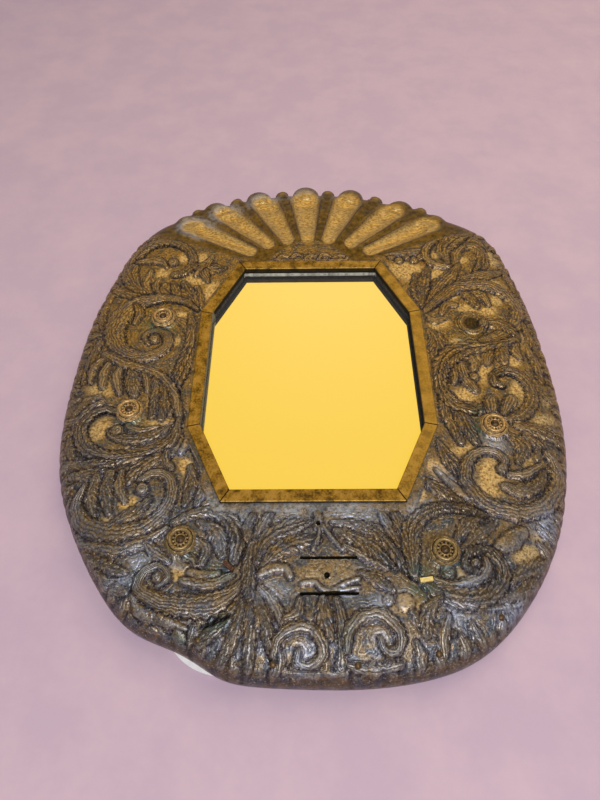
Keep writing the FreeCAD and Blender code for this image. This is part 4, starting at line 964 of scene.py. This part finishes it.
# Places that the materials read, in metres. Between the two of a pair one colour gives way to the
# next. RIGHT_SHARE is how much a place to the right counts as one further up, where the light falls.
SHEET_FOOT, RIGHT_SHARE, ROSETTE_FOOT = (-0.14, 0.06), 0.35, (-0.15, -0.08)
STRIP_FACE, STRIP_RIGHT, LEFT_WALL = (0.0328, 0.0336), (0.055, 0.09), (-0.0905, -0.0915)
GREY_LINE_RISE, GREY_LINE_UP = (0.0262, 0.0257), (0.1138, 0.1142)
MITRE_WIDTH = (0.0003, 0.0007)


def feed(socket, value):
    """Links a socket to another node's output, or sets it to a value or an sRGB colour."""
    if isinstance(value, bpy.types.NodeSocket):
        socket.id_data.links.new(value, socket)
    elif isinstance(value, str):
        socket.default_value = (*srgb(value), 1)
    elif value is not None:
        socket.default_value = value


def add_node(tree, kind, *inputs, out=0, **settings):
    """Adds a node with its settings, values and links. Gives back one of its outputs."""
    made = tree.nodes.new("ShaderNode" + kind)
    for name, value in settings.items():
        setattr(made, name, value)
    for socket, value in zip(made.inputs, inputs):
        feed(socket, value)
    return made.outputs[out]


def give(shader, values):
    """Feeds the shader's inputs by name."""
    for name, value in values.items():
        feed(shader.inputs[name], value)


def new_material(name):
    """An empty material, what adds a node to it, and its Principled shader."""
    material = bpy.data.materials.new(name)
    material.use_nodes = True
    return material, partial(add_node, material.node_tree), material.node_tree.nodes["Principled BSDF"]


def beaten_brass():
    """Brass sheet beaten from behind: rubbed gold on the ground, brown tarnish on the leaves, painted
    shade near black in the chased lines and hollows, painted highlights and sheen on what stands
    high, and green where the pins have let the damp in.

    Tarnish lies in clouds of 5 to 16 mm. The hammered grain is under 1 mm on the real sheet, too
    fine to show in the render, so fine, grit and strokes are drawn at 1.5 to 1.9 mm."""
    material, add, shader = new_material("beaten_brass_sheet")
    place = add("TexCoord", out=3)
    height = add("SeparateXYZ", place, out=1)
    right = add("Math", add("SeparateXYZ", place, out=0), 0.0, operation="MAXIMUM")
    upper = add("Math", right, RIGHT_SHARE, height, operation="MULTIPLY_ADD")
    upper = add("MapRange", upper, *SHEET_FOOT)
    broad = add("TexNoise", place, None, 1000 / 16.0, 4.0, 0.6)
    middle = add("TexNoise", place, None, 1000 / 5.0, 4.0, 0.6)
    fine = add("TexNoise", place, None, 1000 / 1.9, 4.0, 0.7)
    grit = add("TexNoise", place, None, 1000 / 1.7, 3.0, 0.7)
    strokes = add("VectorMath", place, (0.4, 1.0, 1.0), operation="MULTIPLY")
    strokes = add("TexNoise", strokes, None, 1000 / 1.5, 4.0, 0.7)
    tone = add("TexNoise", place, None, 1000 / 9.0, 3.0, 0.6)
    apart = add("VectorMath", place, (1.7, 3.1, 0.9), operation="ADD")
    rubbed = add("TexNoise", apart, None, 1000 / 6.0, 4.0, 0.65)
    mask = {name: add("Attribute", attribute_name=name, out=2) for name in SHEET_MASKS}

    # The chased veins of the leaves, bent a little by the noise, and the crowns between them.
    wobble = add("Math", middle, 0.35, operation="MULTIPLY")
    wobble = add("Math", broad, 3.0, wobble, operation="MULTIPLY_ADD")
    lines = add("Math", mask["vein"], wobble, operation="ADD")
    lines = add("Math", lines, 0.5, operation="PINGPONG")
    furrow = add("MapRange", lines, 0.02, 0.17, 1.0, 0.0)
    furrow = add("Math", furrow, mask["veined"], operation="MULTIPLY")
    worn = add("MapRange", rubbed, 0.32, 0.52, 0.2, 1.0)
    furrow = add("Math", furrow, worn, operation="MULTIPLY")
    crown = add("MapRange", lines, 0.28, 0.46, 0.0, 1.0)
    crown = add("Math", crown, mask["veined"], operation="MULTIPLY")

    # The colours of each part, with painted light: greyer and cooler at the foot, and warmer and brighter
    # towards the crest and the right, where the light falls.
    brown = add("MapRange", tone, 0.44, 0.54)
    ground_cool = add("MixRGB", upper, "#54565a", "#655744")
    ground_warm = add("MixRGB", upper, "#7a6749", "#93733a")
    ground = add("MixRGB", brown, ground_cool, ground_warm)
    gold = add("MixRGB", add("MapRange", fine, 0.36, 0.62), "#94753f", "#dcbe84")
    leaf_cool = add("MixRGB", upper, "#545256", "#60534c")
    leaf_warm = add("MixRGB", upper, "#705a38", "#7f6132")
    leaf = add("MixRGB", brown, leaf_cool, leaf_warm)
    leaf_gold = add("MixRGB", upper, "#947b51", "#ad8b50")
    leaf = add("MixRGB", add("MapRange", rubbed, 0.50, 0.62, 0.0, 0.8), leaf, leaf_gold)
    flute = add("MixRGB", add("MapRange", strokes, 0.36, 0.60), "#8e6d28", "#dcb872")
    shade = add("MapRange", mask["bowl"], 0.0, 0.26, 0.85, 0.0)
    flute = add("MixRGB", shade, flute, "#6d5120")
    rib = add("MixRGB", add("MapRange", middle, 0.38, 0.62), "#463510", "#735822")
    edge = add("MixRGB", upper, "#96928a", "#b99a62")
    spark = add("MixRGB", upper, "#bfb8a8", "#dab064")

    # How much of each lies over the ground: painted highlight and rubbed wear on what stands high, then
    # painted shade in what lies low.
    bare = add("MapRange", mask["gold"], 0.2, 0.6)
    # Painted highlight, partly rubbed wear, on what stands high and on the crowns of the veins.
    high = add("MapRange", mask["high"], 0.15, 1.1, 0.0, 0.68)
    ridge_highlight = add("MapRange", grit, 0.42, 0.60, 0.0, 0.75)
    ridge_highlight = add("Math", crown, ridge_highlight, operation="MULTIPLY")
    # A painted bluish sheen where light is reflected.
    sheen = add("MapRange", middle, 0.3, 0.55, 0.0, 0.85)
    sheen = add("Math", mask["sheen"], sheen, operation="MULTIPLY")
    teal = add("MapRange", fine, 0.42, 0.58, 0.0, 0.9)
    teal = add("Math", mask["teal"], teal, operation="MULTIPLY")
    # Painted shade in the furrows of the veins, fainter where the metal is rubbed.
    furrow_shade = add("Math", furrow, 0.62, operation="MULTIPLY")
    # Painted shade in what lies low and along the rim's turned edge.
    low = add("MapRange", mask["low"], 0.15, 1.2, 0.0, 0.7)
    # Painted shade: purple-grey on the slopes beside the grooves, near black in them.
    haze = add("MapRange", mask["groove"], 0.10, 0.45, 0.0, 0.3)
    cut = add("MapRange", mask["groove"], 0.35, 0.95, 0.0, 0.9)
    cut = add("Math", cut, add("MapRange", fine, 0.62, 0.40, 0.35, 1.0), operation="MULTIPLY")
    smooth = add("Math", mask["gold"], 0.6, operation="MULTIPLY")
    smooth = add("Math", smooth, mask["flute"], operation="MAXIMUM")
    smooth = add("Math", smooth, mask["rib"], operation="MAXIMUM")
    coarse = add("MapRange", smooth, 0.0, 1.0, 0.55, 0.12)
    # Dark specks in the grain, and bright specks that are partly rubbed metal and partly painted glints.
    specks = add("Math", add("MapRange", fine, 0.50, 0.40), coarse, operation="MULTIPLY")
    sparks = add("Math", add("MapRange", grit, 0.57, 0.66), coarse, operation="MULTIPLY")
    colour = ground
    for amount, tint in ((bare, gold), (mask["leaf"], leaf), (mask["rib"], rib), (mask["flute"], flute),
                         (high, edge), (ridge_highlight, edge), (sheen, "#b3bccb"), (teal, "#1d5c4e"),
                         (furrow_shade, "#1f1710"), (low, "#1a120a"), (haze, "#4a4458"), (cut, "#0f0a06"),
                         (specks, "#1b140c"), (sparks, spark), (mask["dark"], "#0a0705")):
        colour = add("MixRGB", amount, colour, tint)

    relief = add("Math", fine, add("Math", middle, 1.2, operation="MULTIPLY"), operation="ADD")
    relief = add("Math", relief, 0.5, operation="MULTIPLY")
    round_vein = add("MapRange", lines, 0.0, 0.36, 0.0, 0.75, interpolation_type="SMOOTHERSTEP")
    relief = add("Math", round_vein, mask["veined"], relief, operation="MULTIPLY_ADD")
    give(shader, {"Base Color": colour, "Metallic": 0.6,
                  "Roughness": add("MapRange", middle, 0.3, 0.7, 0.28, 0.46),
                  "Normal": add("Bump", 1.0, 0.0006, None, relief)})
    return material


def plain(name, colour, dark, size_mm, metallic, rough, bump_mm=0.0):
    """A material of one colour, mottled with a darker one. The mottle of the small pins, nails and
    screws is finer than 1 mm on the real ones, and is drawn at 1.2 to 2 mm so that it shows."""
    material, add, shader = new_material(name)
    place = add("TexCoord", out=3)
    grain = add("TexNoise", place, None, 1000 / size_mm, 5.0, 0.65)
    tint = add("MixRGB", add("MapRange", grain, 0.4, 0.65), dark, colour)
    give(shader, {"Base Color": tint, "Metallic": metallic, "Roughness": rough})
    if bump_mm:
        give(shader, {"Normal": add("Bump", 1.0, bump_mm / 1000, None, grain)})
    return material


def grey_glass_line(add, rise, up):
    """Where a grey line lies along the glass, plain only across the top of the sight."""
    line = add("MapRange", rise, *GREY_LINE_RISE)
    return add("Math", line, add("MapRange", up, *GREY_LINE_UP, 0.12, 1.0), operation="MULTIPLY")


def left_side(add, place):
    """The left wall of the recess, which is painted pale, unlike the walls painted dark as shade."""
    return add("MapRange", add("SeparateXYZ", place, out=0), *LEFT_WALL)


def mitre_line(add, place):
    """Where two strips meet: a dark line through each corner of the sight."""
    aside = add("Math", add("SeparateXYZ", place, out=0), operation="ABSOLUTE")
    along = add("Math", add("SeparateXYZ", place, out=1), SIGHT_Y / 1000, operation="SUBTRACT")
    along = add("Math", along, operation="ABSOLUTE")
    gaps = []
    for corner_x, corner_y, turn in ((HALF_TOP, HALF_HEIGHT, SLANT / 2),
                                     (HALF_WIDTH, HALF_SIDE, (SLANT + math.pi / 2) / 2)):
        right = add("Math", aside, corner_x / 1000, operation="SUBTRACT")
        up = add("Math", along, corner_y / 1000, operation="SUBTRACT")
        down = add("Math", up, -math.sin(turn), operation="MULTIPLY")
        gap = add("Math", right, math.cos(turn), down, operation="MULTIPLY_ADD")
        gaps.append(add("Math", gap, operation="ABSOLUTE"))
    gap = add("Math", *gaps, operation="MINIMUM")
    return add("MapRange", gap, *MITRE_WIDTH, 0.9, 0.0)


def rolled_strip():
    """Rolled brass strip: worn tan-brown with bare and dark patches, painted a little brighter at the
    right as light, with dark mitres and an inner wall painted black as shade, pale at the left. Its
    wear is finer than 1 mm on the real strips, and is drawn at 1.6 mm so that it shows."""
    material, add, shader = new_material("rolled_brass_strip")
    place = add("TexCoord", out=3)
    rise = add("SeparateXYZ", place, out=2)
    patches = add("TexNoise", place, None, 1000 / 9.0, 5.0, 0.65)
    fine = add("TexNoise", place, None, 1000 / 1.6, 4.0, 0.7)
    worn = add("MixRGB", add("MapRange", fine, 0.38, 0.62), "#674d12", "#a27d2c")
    tint = add("MixRGB", add("MapRange", patches, 0.48, 0.62, 0.0, 0.7), worn, "#b48f44")
    tint = add("MixRGB", add("MapRange", patches, 0.46, 0.36, 0.0, 0.8), tint, "#3f2d12")
    tint = add("MixRGB", add("MapRange", fine, 0.62, 0.70, 0.0, 0.7), tint, "#21180c")
    # Painted light: brighter towards the right, where the light falls.
    right = add("MapRange", add("SeparateXYZ", place, out=0), *STRIP_RIGHT, 0.0, 0.35)
    tint = add("MixRGB", right, tint, "#c09a46")
    tint = add("MixRGB", mitre_line(add, place), tint, "#171008")
    # The inner wall is painted near black as shade, and pale at the left.
    wall = add("MixRGB", left_side(add, place), "#191307", "#857c5c")
    tint = add("MixRGB", add("MapRange", rise, *STRIP_FACE[::-1], 0.0, 0.95), tint, wall)
    give(shader, {"Base Color": tint,
                  "Metallic": add("MapRange", rise, *STRIP_FACE, 0.0, 0.65),
                  "Roughness": add("MapRange", rise, *STRIP_FACE, 0.9, 0.42),
                  "Specular IOR Level": add("MapRange", rise, *STRIP_FACE, 0.1, 0.5),
                  "Normal": add("Bump", 1.0, 0.0002, None, fine)})
    return material


def rosette_brass():
    """Pressed brass, mottled tan and brown, with painted shade near black in its hollows, and
    painted light that leaves it duller at the foot.
    Its wear is finer than 1 mm on the real rosettes, and is drawn at 1.4 mm so that it shows."""
    material, add, shader = new_material("pressed_brass_rosette")
    place = add("TexCoord", out=3)
    fine = add("TexNoise", place, None, 1000 / 1.4, 4.0, 0.7)
    low = add("Attribute", attribute_name="low", out=2)
    # Painted light: duller and darker towards the foot.
    upper = add("MapRange", add("SeparateXYZ", place, out=1), *ROSETTE_FOOT)
    hollow = add("MixRGB", upper, "#5f4b2b", "#7c5e32")
    rubbed = add("MixRGB", upper, "#a68c5a", "#d0aa6c")
    tint = add("MixRGB", add("MapRange", fine, 0.36, 0.62), hollow, rubbed)
    # Painted shade in the hollows.
    tint = add("MixRGB", low, tint, "#1a120b")
    give(shader, {"Base Color": tint, "Metallic": 0.5, "Roughness": 0.4,
                  "Normal": add("Bump", 1.0, 0.00012, None, fine)})
    return material


def shaded_core():
    """Wood painted near black as shade in the recess, with a grey line along the glass across the top
    of the sight, and painted pale at the left."""
    material, add, shader = new_material("wood_core_in_shade")
    place = add("TexCoord", out=3)
    up = add("SeparateXYZ", place, out=1)
    rise = add("SeparateXYZ", place, out=2)
    grain = add("TexNoise", place, None, 1000 / 3.0, 5.0, 0.65)
    # Painted shade: near black.
    tint = add("MixRGB", add("MapRange", grain, 0.4, 0.65), "#171206", "#2e2610")
    pale_grey = add("MixRGB", add("MapRange", grain, 0.35, 0.6), "#6d6c60", "#b9b5a2")
    tint = add("MixRGB", grey_glass_line(add, rise, up), tint, pale_grey)
    tint = add("MixRGB", left_side(add, place), tint, "#857c5c")
    give(shader, {"Base Color": tint, "Roughness": 0.9, "Specular IOR Level": 0.1})
    return material


def silvered_glass():
    """Old silvered glass: a sharp reflection with small dull brown specks where the silver has
    lifted. They lie about 14 mm apart and are thickest in clouds of 40 mm."""
    material, add, shader = new_material("silvered_glass")
    place = add("TexCoord", out=3)
    cells = add("TexVoronoi", place, None, 1000 / 14.0)
    lumps = add("TexNoise", place, None, 1000 / 40.0, 4.0, 0.6)
    lumps = add("MapRange", lumps, 0.3, 0.6, 0.0, 0.3)
    speck = add("Math", cells, lumps, operation="ADD")
    speck = add("MapRange", speck, 0.07, 0.13, 1.0, 0.0)
    give(shader, {"Base Color": add("MixRGB", speck, "#f4f2ee", "#6b5a30"),
                  "Metallic": add("MapRange", speck, 0, 1, 0.97, 0.6),
                  "Roughness": add("MapRange", speck, 0, 1, 0.03, 0.5)})
    return material


# The scene

# The camera's turns in degrees and its place in mm from the sight's middle in the rim's plane, its
# lens and sensor in mm, and the nearest that it sees in metres.
YAW, SHIFT_X, PITCH, TURN, DISTANCE, AIM_Y = -0.91, 10.56, 55.58, -1.11, 503.9, -37.8
LENS, SENSOR, NEAREST = 27, 36, 0.01

# Each light's place and size in metres, its power in watts and its colour. Both face the origin.
FRONT_KEY = ((0.15, -1.5, 2.3), 1.2, 66, "#f0f2ff")
BACK_FILL = ((0.7, 0.9, 1.5), 1.4, 16, "#fff2dc")
ROOM_COLOUR, ROOM_GLOW = "#cfcad2", 0.42

# The floor, and the wall behind the mirror's head, also in metres.
FLOOR_SIZE, FLOOR_Z = 6, -0.0006
WALL_SIZE, WALL_STRETCH, WALL_PLACE = 2, 1.2, (0, 1.0, 1.8)
WALL_COLOUR, WALL_GLOW = "#ffd43c", 1.04


def make_camera():
    """The camera where the photograph was taken from."""
    pitch, roll = math.radians(PITCH), math.radians(TURN)
    back = Vector((0, -math.cos(pitch), math.sin(pitch)))
    place = Vector((0, AIM_Y, 0)) + back * DISTANCE
    right = Vector((1, 0, 0))
    up = right.cross(-back)
    right, up = right * math.cos(roll) + up * math.sin(roll), up * math.cos(roll) - right * math.sin(roll)
    unturn = Matrix.Rotation(-math.radians(YAW), 3, "Z")
    place = unturn @ (place - Vector((SHIFT_X, 0, 0))) + Vector((0, SIGHT_Y, RIM_Z))
    axes = Matrix((unturn @ right, unturn @ up, unturn @ back)).transposed()
    data = bpy.data.cameras.new("camera")
    data.lens = LENS
    data.sensor_width = SENSOR
    data.clip_start = NEAREST
    camera = bpy.data.objects.new("camera", data)
    bpy.context.scene.collection.objects.link(camera)
    camera.matrix_world = Matrix.Translation(place / 1000) @ axes.to_4x4()
    bpy.context.scene.camera = camera


def area_light(name, place, size, power, colour):
    """A square light that faces the origin."""
    data = bpy.data.lights.new(name, "AREA")
    data.size, data.energy, data.color = size, power, srgb(colour)
    light = bpy.data.objects.new(name, data)
    bpy.context.scene.collection.objects.link(light)
    light.location = place
    light.rotation_euler = Vector(place).to_track_quat("Z", "Y").to_euler()
    return light


def make_surroundings():
    """A pale floor, a soft cool light from the front, and the warm wall that the mirror shows."""
    bpy.ops.mesh.primitive_plane_add(size=FLOOR_SIZE, location=(0, 0, FLOOR_Z))
    floor = bpy.context.object
    floor.name = "floor"
    floor.data.materials.append(plain("pale_floor", "#bea4a9", "#b69da6", 60.0, 0.0, 0.7))
    bpy.ops.mesh.primitive_plane_add(size=WALL_SIZE, location=WALL_PLACE, rotation=(math.pi / 2, 0, 0))
    card = bpy.context.object
    card.name = "warm_wall"
    card.scale = (WALL_STRETCH, WALL_STRETCH, 1)
    material, _, shader = new_material("warm_wall")
    give(shader, {"Base Color": (0, 0, 0, 1), "Emission Color": WALL_COLOUR, "Emission Strength": WALL_GLOW})
    card.data.materials.append(material)
    card.visible_camera = False
    card.visible_diffuse = False
    card.visible_shadow = False
    area_light("front_key", *FRONT_KEY)
    fill = area_light("back_fill", *BACK_FILL)
    fill.visible_glossy = False
    world = bpy.data.worlds.new("room")
    world.use_nodes = True
    give(world.node_tree.nodes["Background"], {"Color": ROOM_COLOUR, "Strength": ROOM_GLOW})
    bpy.context.scene.world = world


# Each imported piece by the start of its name, with the function that makes its material, or with
# what plain() takes. The first name that fits counts, so the longer of two comes first.
FINISHES = {
    "sight_strip": rolled_strip,
    # Drawn brass wire, dark brown and mottled darker.
    "rosette_pins": ("brass_pin", "#6b5230", "#2c1e10", 1.5, 0.5, 0.5, 0.05),
    "rosette": rosette_brass,
    # Stamped brass heads that have gone as dull as the sheet round them.
    "border_nails": ("dull_brass_nail", "#7a603a", "#453520", 1.5, 0.6, 0.5),
    # Brass painted pale yellow-white as a painted highlight, the brightest spot on the frame.
    "stub_pin_right": ("bright_brass_pin", "#f3e2a4", "#dcc06a", 2.0, 0.4, 0.35),
    # Iron wire with rough brown rust.
    "stub_pin_left": ("rusted_iron_pin", "#6b452c", "#2f1d14", 1.2, 0.3, 0.7, 0.1),
    # Cut iron, grey with brown stains.
    "backboard_sprigs": ("cut_iron_sprig", "#5b5652", "#3a322c", 1.2, 0.7, 0.6),
    # Planed pine, pale brown and matt.
    "backboard": ("pine_board", "#b89768", "#9a7a4e", 6.0, 0.0, 0.7),
    # Pressed paper card, white with faint foxing.
    "backing_card": ("white_card", "#ebe7e0", "#dcd6cc", 9.0, 0.0, 0.85),
    "wood_core": shaded_core,
    "mirror_glass": silvered_glass,
    # Turned steel, grey and a little dulled.
    "hanger_screws": ("steel_screw", "#8b8a88", "#5e5c5a", 1.2, 0.9, 0.4),
    # Drawn and rolled brass, cleaner than the front because it is out of the light.
    "hanger": ("drawn_brass_hanger", "#b08d4a", "#7b6030", 2.0, 0.85, 0.35),
}


def finish_nodes(nodes):
    """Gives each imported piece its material, but for the cover, whose place the sheet takes."""
    made = {}
    for name, obj in nodes.items():
        key = next((k for k in FINISHES if name.startswith(k)), None)
        if key is None:
            continue
        if key not in made:
            finish = FINISHES[key]
            made[key] = plain(*finish) if isinstance(finish, tuple) else finish()
        obj.data.materials.clear()
        obj.data.materials.append(made[key])


def main():
    """Loads the frame, dresses its pieces and sets the camera, lights and room."""
    for old in list(bpy.data.objects):
        bpy.data.objects.remove(old)
    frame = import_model()
    bpy.ops.object.select_all(action="DESELECT")
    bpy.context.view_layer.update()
    scene = bpy.context.scene
    scene.view_settings.view_transform = "Standard"
    make_camera()
    nodes = frame["nodes"]
    sheet = make_sheet(nodes["embossed_cover"], nodes["wood_core"])
    sheet.data.materials.append(beaten_brass())
    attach(sheet, "frame")
    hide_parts("embossed_cover")
    finish_nodes(nodes)
    for name, node in nodes.items():
        if name.startswith("rosette_") and name != "rosette_pins":
            rosette = make_rosette(node)
            rosette.data.materials.append(node.data.materials[0])
            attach(rosette, "frame")
            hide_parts(name)
    make_surroundings()


main()
